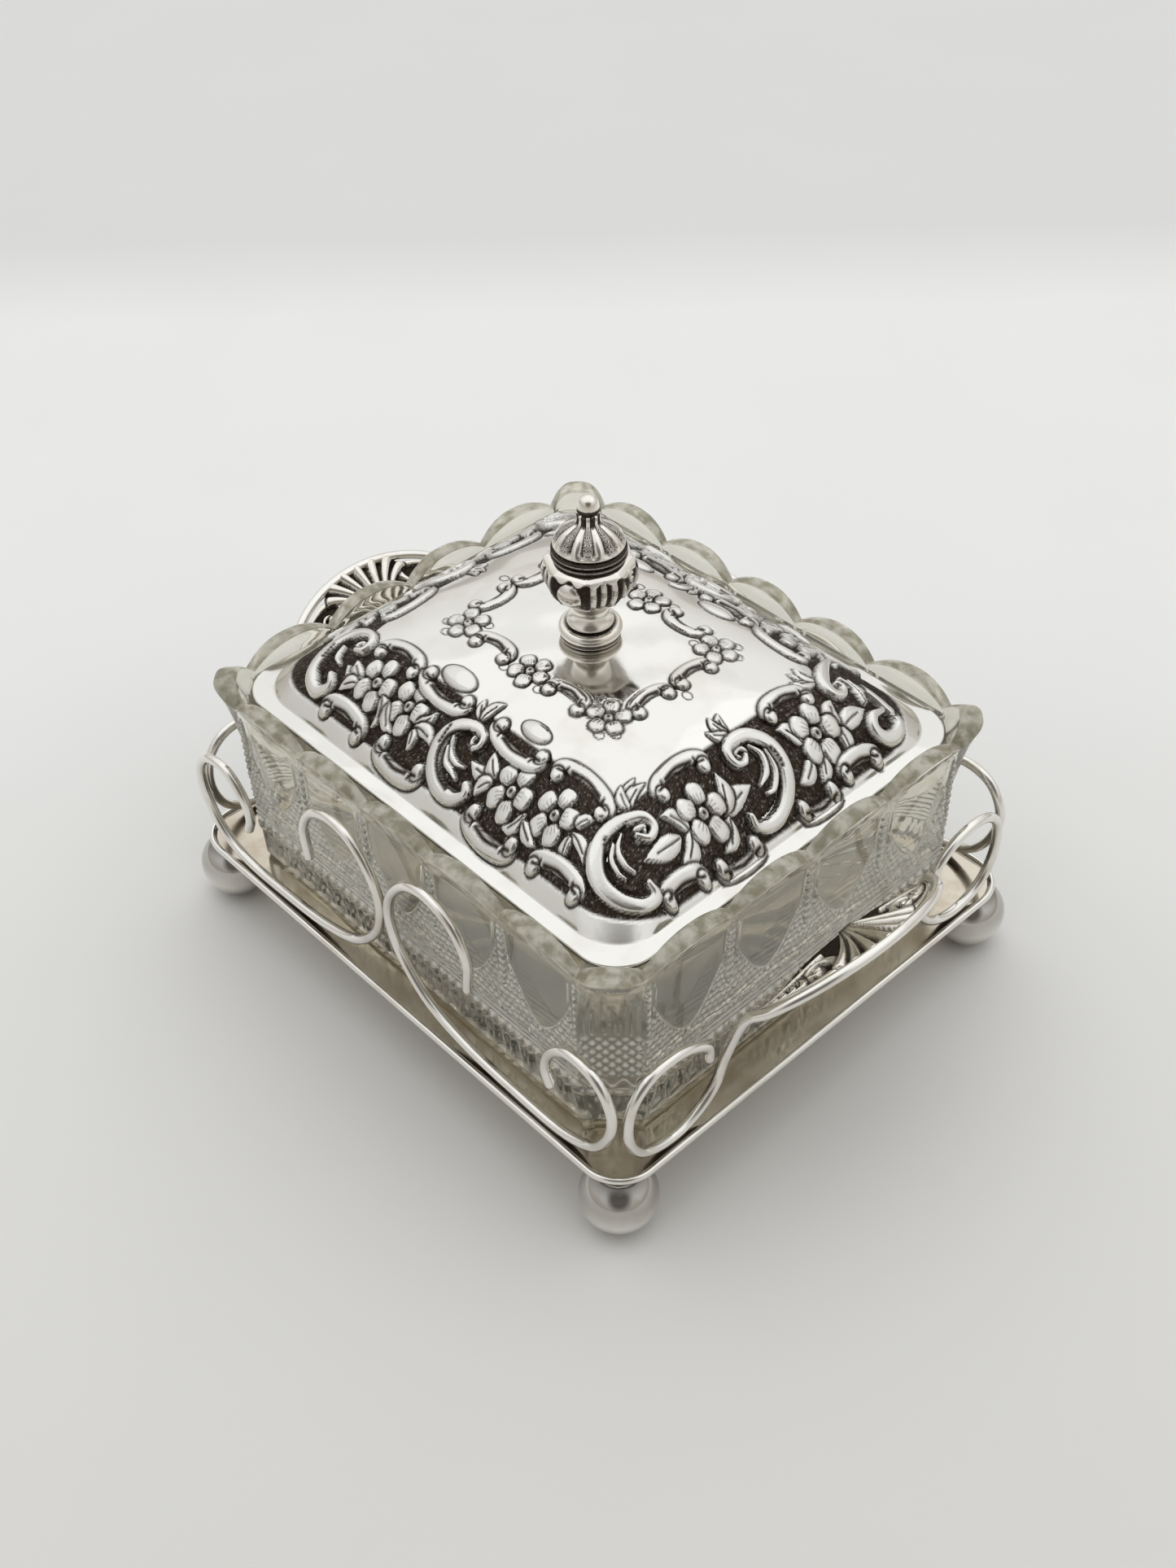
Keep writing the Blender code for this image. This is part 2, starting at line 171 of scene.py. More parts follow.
def smooth_path(points, step):
    """Even, smooth polyline through the points (centripetal Catmull-Rom, then resampled)."""
    pts = np.asarray(points, float)
    pts = np.vstack([2 * pts[0] - pts[1], pts, 2 * pts[-1] - pts[-2]])
    out = []
    for k in range(1, len(pts) - 2):
        p0, p1, p2, p3 = pts[k - 1:k + 3]
        t = np.linspace(0, 1, 24, endpoint=False)[:, None]
        out.append((2 * p1 + (p2 - p0) * t + (2 * p0 - 5 * p1 + 4 * p2 - p3) * t ** 2
                    + (3 * p1 - p0 - 3 * p2 + p3) * t ** 3) / 2)
    out.append(pts[-2][None])
    line = np.vstack(out)
    run = np.concatenate([[0], np.cumsum(np.linalg.norm(np.diff(line, axis=0), axis=1))])
    count = max(int(run[-1] / step), 4)
    at = np.linspace(0, run[-1], count + 1)
    return np.stack([np.interp(at, run, line[:, i]) for i in range(line.shape[1])], 1)


def tube(name, path, radius, mat, sides=20, closed=False, up=(0, 0, 1), oval=1.0, dark=None):
    """Wire along a path, with domed ends where it is open; dark(rings) gives its painted shade and
    darkening.
    """
    n = len(path)
    if closed:
        tangent = np.roll(path, -1, 0) - np.roll(path, 1, 0)
    else:
        tangent = np.gradient(path, axis=0)
    tangent /= np.linalg.norm(tangent, axis=1)[:, None]
    side = np.cross(tangent[0], up)
    side /= np.linalg.norm(side)
    rings = []
    a = 2 * pi * np.arange(sides) / sides
    for k in range(n):
        if closed:
            side = np.cross(tangent[k], up)
        side = side - tangent[k] * side.dot(tangent[k])
        side /= np.linalg.norm(side)
        other = np.cross(tangent[k], side)
        rings.append(path[k] + radius * (np.outer(np.cos(a), side) + oval * np.outer(np.sin(a), other)))
    if not closed:
        for end, sign in ((0, -1), (n - 1, 1)):
            base = rings[0] if end == 0 else rings[-1]
            hub = path[end]
            domes = []
            for t in DOME_STEPS:
                shrink = sqrt(1 - t * t)
                domes.append(hub + (base - hub) * shrink + sign * tangent[end] * radius * t * DOME)
            rings = (list(reversed(domes)) + rings) if end == 0 else (rings + domes)
    return skin(name, rings, mat, dark and dark(np.array(rings)), closed)


def turned(name, profile, mat, at=(0, 0), steps=72, dark=None, closed=False):
    """Turned piece from (radius, z) points; dark holds one value per point of painted shade and reflection.
    """
    a = 2 * pi * np.arange(steps) / steps
    x, y = np.cos(a), np.sin(a)
    rings = [np.column_stack([at[0] + r * x, at[1] + r * y, np.full(steps, z)]) for r, z in profile]
    shade = None if dark is None else np.repeat(np.asarray(dark, float)[:, None], steps, 1)
    return skin(name, rings, mat, shade, closed)


def place(ob, body, node):
    """Fix a piece to its body and hide the CAD node that it stands for."""
    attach(ob, body)
    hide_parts(node)


# ---------------------------------------------------------------- relief drawing

class Relief:
    """A height and darkness drawing on a flat sheet, the darkness being painted shade in the recesses and
    grooves; motifs are laid over each other.
    """

    def __init__(self, x0, x1, y0, y1, step):
        self.step = step
        self.x = np.arange(x0, x1 + step, step)
        self.y = np.arange(y0, y1 + step, step)
        self.h = np.zeros((len(self.y), len(self.x)))
        self.dark = np.zeros_like(self.h)

    def window(self, x0, x1, y0, y1):
        i0, i1 = np.searchsorted(self.x, (x0, x1))
        j0, j1 = np.searchsorted(self.y, (y0, y1))
        sl = (slice(j0, j1), slice(i0, i1))
        X, Y = np.meshgrid(self.x[i0:i1], self.y[j0:j1])
        return sl, X, Y

    def around(self, pts, margin):
        """Window that holds a polyline with a margin."""
        low, high = pts.min(0) - margin, pts.max(0) + margin
        return self.window(low[0], high[0], low[1], high[1])

    def lay(self, sl, q, width, height, edge=0.62, sharp=3.4, groove=0.3):
        """q is 0 on the motif's crest and 1 at its edge; width turns q back into millimetres."""
        out = np.clip((q - 1) * width / edge, 0, 1)
        # painted shade: dark along each motif's edge and in the groove round it, over a trace of tarnish on
        # the crest
        tarnish_and_shade = np.where(q > 1, np.clip(1.6 - 1.6 * out, 0, 1), WARM + np.clip((q - 0.86) / 0.12, 0, 1) * 0.8)
        inside = q < 1
        shape = height * np.power(np.clip(1 - np.power(np.clip(q, 0, 1), sharp), 0, 1), 0.6)
        h = self.h[sl]
        dark = self.dark[sl]
        h[inside] = shape[inside]
        ring = (q >= 1) & (out < 1)
        h[ring] -= (groove * (1 - out))[ring]
        dark[inside] = tarnish_and_shade[inside]
        dark[ring] = np.maximum(dark[ring], tarnish_and_shade[ring])

    def nearest(self, X, Y, pts, widths):
        """Distance over local half width, and the half width, to a polyline."""
        best = np.full(X.shape, 1e9)
        wide = np.ones(X.shape)
        for k in range(len(pts) - 1):
            (ax, ay), (bx, by) = pts[k], pts[k + 1]
            dx, dy = bx - ax, by - ay
            t = np.clip(((X - ax) * dx + (Y - ay) * dy) / max(dx * dx + dy * dy, 1e-9), 0, 1)
            d = np.hypot(X - ax - t * dx, Y - ay - t * dy)
            w = widths[k] + (widths[k + 1] - widths[k]) * t
            q = d / w
            better = q < best
            best[better] = q[better]
            wide[better] = w[better]
        return best, wide

    def stroke(self, points, widths, height, step=0.5, **more):
        pts = smooth_path(points, step)
        w = np.interp(np.linspace(0, 1, len(pts)), np.linspace(0, 1, len(widths)), widths)
        sl, X, Y = self.around(pts, w.max() + 1.0)
        if X.size:
            q, wide = self.nearest(X, Y, pts, w)
            self.lay(sl, q, wide, height, **more)

    def line(self, points, width=0.2, depth=0.2, tarnish_and_shade=1.0):
        """Engraved line, with painted shade along it."""
        width *= ENGRAVE
        pts = smooth_path(points, 0.4)
        sl, X, Y = self.around(pts, width * 3)
        if X.size:
            q, _ = self.nearest(X, Y, pts, np.full(len(pts), width))
            fall = np.clip(1.5 - q, 0, 1)
            self.h[sl] -= depth * fall
            self.dark[sl] = np.maximum(self.dark[sl], tarnish_and_shade * fall)

    def oval(self, cx, cy, a, b, turn, height, power=2.0, **more):
        m = max(a, b) + 1.0
        sl, X, Y = self.window(cx - m, cx + m, cy - m, cy + m)
        if X.size:
            u = (X - cx) * cos(turn) + (Y - cy) * sin(turn)
            v = -(X - cx) * sin(turn) + (Y - cy) * cos(turn)
            q = (np.abs(u / a) ** power + np.abs(v / b) ** power) ** (1 / power)
            self.lay(sl, q, min(a, b), height, **more)

    def dots(self, points, r):
        for x, y in points:
            sl, X, Y = self.window(x - 3 * r, x + 3 * r, y - 3 * r, y + 3 * r)
            fall = np.clip(1.6 - np.hypot(X - x, Y - y) / r, 0, 1)
            self.h[sl] -= 0.25 * fall
            # painted shade in each punched dot
            self.dark[sl] = np.maximum(self.dark[sl], fall)

    def flower(self, cx, cy, size, start, height=0.75):
        for k in range(PETALS):
            a = start + 2 * pi * k / PETALS
            px, py = cx + 0.64 * size * cos(a), cy + 0.64 * size * sin(a)
            self.oval(px, py, 0.37 * size, 0.36 * size, a, height, power=2.6, sharp=4.5)
            for off in (-0.15, 0.02, 0.17):
                s = a + off * 1.6
                self.line([(cx + r * size * cos(s), cy + r * size * sin(s)) for r in (0.32, 0.44, 0.60)],
                          0.10, 0.10, 0.55)
        self.oval(cx, cy, 0.20 * size, 0.20 * size, 0, height * 0.9)
        self.dots([(cx, cy)], 0.09 * size)

    def leaf(self, base, tip, width, bend=0.15, height=0.6):
        width *= LEAFY
        bx, by = base
        tx, ty = tip
        mx = (bx + tx) / 2 - (ty - by) * bend
        my = (by + ty) / 2 + (tx - bx) * bend
        widths = [0.3 * width, 0.85 * width, width, 0.85 * width, 0.5 * width, 0.12]
        self.stroke([base, (mx, my), tip], widths, height, step=0.35, sharp=3.0)
        vein = [base, ((bx + mx) / 2, (by + my) / 2), ((mx * 2 + tx) / 3, (my * 2 + ty) / 3)]
        self.line(vein, 0.17, 0.25)

    def bracket(self, a, b, rise, width=1.55, height=0.95):
        """C-scroll bar between two knobs, bulging by rise to the left of a -> b."""
        a, b = np.array(a, float), np.array(b, float)
        way = b - a
        span = np.hypot(*way)
        way /= span
        left = np.array([-way[1], way[0]])

        def at(t, r):
            return tuple(a + way * span * t + left * rise * r)

        path = [at(0.02, 0.02), at(-0.035, 0.42), at(0.09, 0.80), at(0.3, 0.98), at(0.5, 1.03),
                at(0.7, 0.98), at(0.91, 0.80), at(1.035, 0.42), at(0.98, 0.02)]
        swell = (0.9, 1, 1.02, 1, 1, 1, 1.02, 1, 0.9)
        self.stroke(path, [width * share for share in swell], height)
        for t in (0.03, 0.97):
            x, y = at(t, 0.06)
            self.oval(x, y, width * 1.12, width * 1.05, 0, height * 1.12)
        shift = -0.55 * width / abs(rise)
        self.line([at(0.22, 0.86 + shift), at(0.5, 1.03 + shift), at(0.78, 0.86 + shift)], 0.32, 0.35)
        for t, s in ((0.0, 1), (1.0, -1)):
            self.line([at(t + s * 0.13, 0.70), at(t + s * 0.11, 0.40), at(t + s * 0.0, 0.30)], 0.26, 0.3)

    def sample(self, x, y):
        fx = np.clip((x - self.x[0]) / self.step, 0, len(self.x) - 1.001)
        fy = np.clip((y - self.y[0]) / self.step, 0, len(self.y) - 1.001)
        i, j = fx.astype(int), fy.astype(int)
        u, v = fx - i, fy - j

        def mix(f):
            return (f[j, i] * (1 - u) * (1 - v) + f[j, i + 1] * u * (1 - v)
                    + f[j + 1, i] * (1 - u) * v + f[j + 1, i + 1] * u * v)

        return mix(self.h), mix(self.dark)


class Pen:
    """Draws on a sheet in other units, mirrored in x where sx is -1 and in y where sy is -1."""

    def __init__(self, sheet, sx, sy, unit):
        self.sheet, self.sx, self.sy, self.unit = sheet, sx * unit, sy * unit, unit
        self.hand = sx * sy

    def p(self, point):
        return (point[0] * self.sx, point[1] * self.sy)

    def stroke(self, pts, widths, height, **more):
        self.sheet.stroke([self.p(q) for q in pts], [w * self.unit for w in widths], height, **more)

    def line(self, pts, *rest):
        self.sheet.line([self.p(q) for q in pts], *rest)

    def bracket(self, a, b, rise):
        self.sheet.bracket(self.p(a), self.p(b), rise * self.unit * self.hand)

    def flower(self, x, y, size, start):
        cx, cy = self.p((x, y))
        a = atan2(sin(start) * self.sy, cos(start) * self.sx)
        self.sheet.flower(cx, cy, size * self.unit, a)

    def leaf(self, base, tip, width, bend=0.15):
        self.sheet.leaf(self.p(base), self.p(tip), width * self.unit, bend * self.hand)

    def oval(self, x, y, a, b, turn, height, **more):
        cx, cy = self.p((x, y))
        self.sheet.oval(cx, cy, a * self.unit, b * self.unit, turn * self.hand, height, **more)

    def dots(self, pts, r):
        self.sheet.dots([self.p(q) for q in pts], r * self.unit)


def long_side(pen):
    """Ornament of one long side of the band, drawn for the -Y side."""
    pen.leaf((0.5, -39), (-2.2, -34.6), 1.1)
    pen.leaf((1.0, -39), (3.6, -32.8), 1.4)
    for x, w, h in ((-13.3, 6.2, 3.0), (16.3, 5.0, 2.5)):
        pen.oval(x, -34.0, w, h, 0, 1.1, edge=0.25, groove=0.05, sharp=2.2)
    pen.leaf((-39.5, -47.4), (-46.0, -46.0), 1.5)
    for x, y, start in ((-34.0, -45.8, 1.35), (-20.6, -45.9, 1.3), (21.5, -47.5, 1.3), (36.0, -46.3, 1.55)):
        pen.flower(x, y, 6.6, start)
    for leaf in (((-39.6, -46.8), (-44.2, -43.8), 1.4), ((-39.8, -48.4), (-43.6, -51.6), 1.4, -0.2),
                 ((-29.4, -47.6), (-27.6, -53.6), 1.5, 0.25),
                 ((-26.6, -47.8), (-20.6, -52.4), 1.3, -0.2),
                 ((-15.0, -47.6), (-11.6, -43.4), 1.4, -0.2),
                 ((-14.8, -48.4), (-7.2, -49.8), 1.4, 0.15), ((-14.9, -49.4), (-13.4, -53.2), 1.2),
                 ((14.7, -47.6), (6.0, -47.2), 1.5, 0.1), ((14.8, -47.0), (10.6, -42.8), 1.5, 0.15),
                 ((14.6, -48.6), (12.4, -52.2), 1.5, -0.25), ((28.6, -49.8), (24.6, -54.0), 1.3, 0.25),
                 ((29.6, -50.8), (36.0, -53.4), 1.2, -0.1), ((43.0, -45.0), (45.0, -41.8), 1.4, 0.15),
                 ((43.4, -47.0), (51.0, -50.6), 1.3, 0.12), ((43.2, -48.2), (45.2, -52.0), 1.3, -0.2)):
        pen.leaf(*leaf)
    for bracket in (((-40.6, -39.6), (-26.0, -39.6), 4.2), ((-22.0, -36.6), (-5.6, -37.4), -3.9),
                    ((6.4, -37.0), (23.2, -37.9), -3.9), ((28.8, -39.4), (45.8, -39.8), 4.2),
                    ((-44.9, -56.4), (-30.2, -57.0), 3.2), ((-21.8, -54.4), (-6.4, -54.9), -3.2),
                    ((14.4, -54.6), (30.4, -55.4), -3.2), ((38.0, -56.4), (53.3, -56.2), 3.0)):
        pen.bracket(*bracket)
    pen.stroke([(4.4, -44.8), (3.0, -44.2), (3.2, -42.4), (5.0, -42.3), (5.8, -43.8), (4.6, -45.6)],
               [0.5, 0.6, 0.7, 0.8, 0.8, 0.7], 0.9)
    pen.stroke([(4.7, -45.0), (6.0, -43.8), (5.0, -41.6), (1.6, -41.0), (-2.6, -42.6), (-5.2, -46.2),
                (-4.6, -50.6), (-1.6, -53.8), (2.6, -55.3), (7.2, -55.2), (10.2, -53.2), (9.0, -51.6)],
               [0.7, 1.0, 1.4, 1.8, 2.1, 2.2, 2.1, 1.9, 1.7, 1.6, 1.4, 1.0], 1.5)
    pen.line([(0.6, -42.6), (-2.6, -44.4), (-3.9, -47.0), (-3.0, -50.6), (0.2, -53.2),
              (4.6, -54.4)], 0.26, 0.3)
    pen.dots([(-4.9, -43.9 - 0.95 * k) for k in range(5)], 0.46)
    pen.stroke([(-2.6, -45.4), (-1.2, -48.0), (2.0, -49.4), (5.2, -49.2)], [0.4, 0.8, 0.8, 0.3], 0.9)
    pen.stroke([(-2.4, -47.6), (-0.4, -50.4), (2.6, -51.2), (5.0, -52.0)], [0.4, 0.8, 0.8, 0.3], 0.9)


def short_side(pen):
    """Ornament of one short side of the band, drawn for the +X side."""
    for tip in ((43.6, 2.4), (43.2, -0.6), (46.0, -4.2)):
        pen.leaf((49.2, 0.6), tip, 1.2)
    for leaf in (((62.3, -13.2), (60.4, -2.6), 2.0, 0.06), ((61.6, -13.2), (54.4, -9.6), 1.8, -0.2),
                 ((63.4, -13.4), (68.0, -18.6), 1.5, 0.2), ((60.6, -25.0), (55.4, -29.4), 1.7, -0.2),
                 ((61.6, -25.0), (65.4, -31.4), 1.7, 0.2), ((61.0, -28.6), (60.4, -39.6), 2.1, 0.04)):
        pen.leaf(*leaf)
    pen.flower(59.7, -18.8, 6.8, 1.6)
    for leaf in (((61.2, 32.0), (60.3, 40.7), 2.2, 0.05), ((60.6, 30.0), (54.8, 33.2), 1.8, 0.2),
                 ((61.4, 29.6), (66.3, 28.4), 1.7, 0.3), ((59.2, 17.4), (54.3, 13.4), 1.8, -0.2),
                 ((63.0, 21.0), (67.7, 17.0), 1.6, 0.2), ((63.0, 17.2), (65.8, 10.8), 1.5, 0.15)):
        pen.leaf(*leaf)
    pen.flower(59.4, 23.2, 7.2, 1.5)
    for bracket in (((52.2, -25.4), (52.0, -10.2), 4.0), ((51.4, 14.0), (52.3, 28.0), 4.0),
                    ((69.6, -22.4), (69.6, -9.8), -2.4), ((69.4, -40.0), (69.6, -28.0), 2.4),
                    ((69.6, 7.6), (69.8, 18.8), -2.4), ((69.2, 24.4), (70.0, 36.0), 2.4)):
        pen.bracket(*bracket)
    pen.stroke([(54.4, -1.2), (55.6, 0.0), (54.6, 1.4), (52.9, 0.6), (53.2, -1.9)],
               [0.5, 0.6, 0.7, 0.8, 0.8], 0.9)
    pen.stroke([(55.0, 0.6), (56.2, -0.8), (55.2, -3.2), (52.2, -3.2), (50.8, 0.0), (51.6, 5.0),
                (55.4, 8.6),
                (60.4, 9.0), (65.0, 6.2), (67.8, 1.2), (68.4, -3.6), (67.4, -7.4), (65.2, -7.6)],
               [0.7, 1.0, 1.4, 1.7, 1.9, 2.1, 2.2, 2.1, 1.9, 1.6, 1.5, 1.4, 0.9], 1.5)
    pen.line([(53.0, 3.6), (56.0, 6.6), (60.2, 7.0), (63.8, 4.6), (66.2, 0.6), (66.8, -4.0)], 0.26, 0.3)
    pen.dots([(56.6 + 1.0 * k, 8.3 - 0.09 * (k - 2) ** 2) for k in range(5)], 0.46)
    pen.stroke([(53.6, 3.2), (56.6, 5.0), (60.0, 3.4), (61.6, -0.2)], [0.4, 0.9, 0.9, 0.3], 0.9)
    pen.stroke([(56.4, 6.6), (60.6, 6.0), (63.4, 3.0), (63.6, 0.6)], [0.4, 0.8, 0.8, 0.5], 0.9)


def corner_scroll(pen):
    """Large C-scroll round a corner, drawn for the +X -Y corner."""
    for tip in ((44.6, -27.6), (47.2, -26.6), (43.8, -31.4)):
        pen.leaf((49.4, -34.4), tip, 1.2)
    pen.stroke([(55.6, -34.8), (57.0, -36.0), (56.0, -37.8), (54.0, -36.6), (54.6, -34.2)],
               [0.5, 0.6, 0.7, 0.8, 0.8], 0.9)
    pen.stroke([(55.2, -37.2), (57.4, -35.2), (56.2, -32.4), (52.8, -33.0), (50.4, -37.6), (49.9, -43.0),
                (52.2, -48.0), (57.0, -50.6), (62.6, -49.8), (66.6, -46.4), (67.0, -42.2), (64.2, -42.0)],
               [0.8, 1.1, 1.4, 1.7, 2.1, 2.4, 2.5, 2.3, 2.1, 1.8, 1.5, 1.0], 1.6)
    pen.line([(51.8, -37.8), (51.6, -43.0), (53.8, -46.6), (57.4, -48.6), (62.2, -47.8),
              (65.2, -45.0)], 0.26, 0.3)
    pen.dots([(50.8 + 0.8 * k, -43.4 - 0.95 * k + 0.08 * k * k) for k in range(5)], 0.46)
    pen.stroke([(52.4, -39.6), (54.4, -42.8), (58.0, -43.8), (60.6, -43.2)], [0.4, 0.9, 0.9, 0.5], 0.9)
    pen.stroke([(52.6, -42.6), (55.0, -45.4), (58.2, -46.2), (60.2, -45.8)], [0.4, 0.8, 0.8, 0.4], 0.9)


def corner_curl(pen):
    """C-scroll that closes the other end of a long side, drawn for the -X -Y corner."""
    pen.stroke([(-46.8, -41.4), (-48.4, -40.6), (-47.2, -39.2),
                (-45.6, -40.4)], [0.5, 0.6, 0.7, 0.8], 0.9)
    pen.stroke([(-47.0, -42.0), (-44.8, -41.2), (-44.8, -38.2), (-48.0, -36.2), (-53.0, -37.4),
                (-56.4, -42.0),
                (-56.8, -47.6), (-54.6, -52.4), (-50.2, -54.4), (-46.8, -52.0), (-48.6, -49.8)],
               [0.8, 1.1, 1.4, 1.7, 2.0, 2.2, 2.2, 2.0, 1.7, 1.4, 0.9], 1.5)
    pen.line([(-49.0, -38.4), (-52.8, -39.8), (-54.8, -44.0), (-54.6, -49.0), (-51.6, -52.2)], 0.26, 0.3)
    pen.dots([(-55.8, -42.8 - 0.95 * k) for k in range(5)], 0.46)
    pen.stroke([(-52.6, -42.0), (-51.6, -45.4), (-48.8, -46.8)], [0.4, 0.9, 0.4], 0.9)


def far_corner(pen):
    """Two curls joined by a bar, opening towards the short side, drawn for the +X +Y corner."""
    for tip in ((44.0, 28.6), (46.6, 26.8), (43.0, 31.6)):
        pen.leaf((48.4, 34.6), tip, 1.2)
    pen.stroke([(62.4, 48.4), (66.4, 48.2), (68.2, 45.0), (67.6, 41.2), (65.0, 39.6), (62.6, 41.6),
                (62.2, 45.4)],
               [1.4, 1.5, 1.7, 1.8, 1.7, 1.4, 0.9], 1.5)
    pen.line([(63.4, 44.6), (63.8, 42.6), (65.4, 42.2), (66.2, 43.6)], 0.2, 0.3)
    pen.stroke([(54.6, 45.4), (58.6, 47.2), (62.8, 48.4)], [1.0, 1.2, 1.4], 1.4)
    pen.stroke([(44.4, 42.8), (46.8, 39.0), (50.0, 35.9), (53.4, 35.4), (55.0, 37.6), (53.4, 39.8),
                (51.6, 39.0)],
               [1.3, 1.9, 2.2, 1.9, 1.5, 1.1, 0.7], 1.5)
    pen.stroke([(50.4, 41.8), (54.0, 43.4), (58.8, 42.8)], [0.5, 0.9, 0.7], 0.9)
    pen.stroke([(51.6, 43.8), (55.6, 44.6), (58.8, 43.4)], [0.4, 0.7, 0.4], 0.8)


def wreath(pen):
    """Small garland round the finial: six flowers joined by C-scroll bars."""
    for sx in (1, -1):
        for sy in (1, -1):
            for dx, dy in ((5.4, 2.6), (2.4, 5.6), (-5.2, -2.8)):
                loop(pen, sx * (27 + dx), sy * (19.4 + dy))
            loop(pen, sx * 6.6, sy * (21 + 3.6))
            pen.bracket((sx * 8.4, sy * 23.2), (sx * 19.8, sy * 23.4), -4.2 * sx * sy)
            pen.bracket((sx * 31.6, sy * 2.2), (sx * 31.6, sy * 13.2), 3.6 * sx * sy)
        loop(pen, sx * 35.0, 0.6)
        for x, sy, a in ((27 * sx, 1, 0.3), (27 * sx, -1, 0.9)):
            pen.flower(x, 19.4 * sy, 5.8, a)
    for sy in (1, -1):
        pen.flower(0, 21.4 * sy, 5.8, 1.0 + sy)


def loop(pen, x, y, r=1.5):
    pts = [(x + r * cos(t), y + r * 0.8 * sin(t)) for t in np.linspace(0.4, 6.2, 9)]
    pen.line(pts, 0.14, 0.12, 0.9)


def draw_lid():
    sheet = Relief(-70, 70, -60, 60, 0.14)
    X, Y = np.meshgrid(sheet.x, sheet.y)

    def rect_gap(hx, hy, r):
        qx = np.abs(X) - (hx - r)
        qy = np.abs(Y) - (hy - r)
        return np.hypot(np.maximum(qx, 0), np.maximum(qy, 0)) + np.minimum(np.maximum(qx, qy), 0) - r

    outer = rect_gap(71.0 * DRAW, 57.0 * DRAW, 17.0 * DRAW)
    inner = rect_gap(48.6 * DRAW, 36.8 * DRAW, 3.0 * DRAW)
    ground = np.clip(-outer / 0.5, 0, 1) * np.clip(inner / 0.5, 0, 1)
    speck = np.random.default_rng(7).random(X.shape)
    for _ in range(2):
        speck = (speck + np.roll(speck, 1, 0) + np.roll(speck, 1, 1) + np.roll(speck, (1, 1), (0, 1))) / 4
    speck = (speck - speck.mean()) / speck.std()
    sheet.h -= (0.35 + 0.08 * speck) * ground
    # painted shade: the sunk, stippled ground between the ornament is dark, a little lighter at random
    # specks
    sheet.dark = np.clip(1.0 - 0.22 * np.clip(speck - 0.9, 0, 2), 0.5, 1.0) * ground
    band_pens = [Pen(sheet, s, s, DRAW) for s in (1, -1)]
    for pen in band_pens:
        long_side(pen)
        short_side(pen)
    for pen in band_pens:
        corner_scroll(pen)
    corner_curl(band_pens[0])
    far_corner(band_pens[0])
    wreath(Pen(sheet, 1, 1, DRAW))
    return sheet


# ---------------------------------------------------------------- materials

RECESS_ROUGH = 0.52
# painted shade colour for surfaces that face down
UNDERSIDE_SHADE = (0.16, 0.135, 0.105)

def nodes_of(name):
    mat = bpy.data.materials.new(name)
    mat.use_nodes = True
    tree = mat.node_tree
    return mat, tree, tree.nodes["Principled BSDF"]


def add(tree, kind, **values):
    node = tree.nodes.new(kind)
    for key, value in values.items():
        if key in node.inputs:
            node.inputs[key].default_value = value
        else:
            setattr(node, key, value)
    return node


def mix_colour(tree, factor, a, b):
    node = tree.nodes.new("ShaderNodeMix")
    node.data_type = "RGBA"
    tree.links.new(factor, node.inputs[0])
    for index, value in ((6, a), (7, b)):
        if isinstance(value, tuple):
            node.inputs[index].default_value = (*value, 1)
        else:
            tree.links.new(value, node.inputs[index])
    return node.outputs[2]


def ramp(tree, source, low, high, out_low, out_high):
    node = tree.nodes.new("ShaderNodeMapRange")
    tree.links.new(source, node.inputs[0])
    for index, value in enumerate((low, high, out_low, out_high), 1):
        node.inputs[index].default_value = value
    return node.outputs[0]


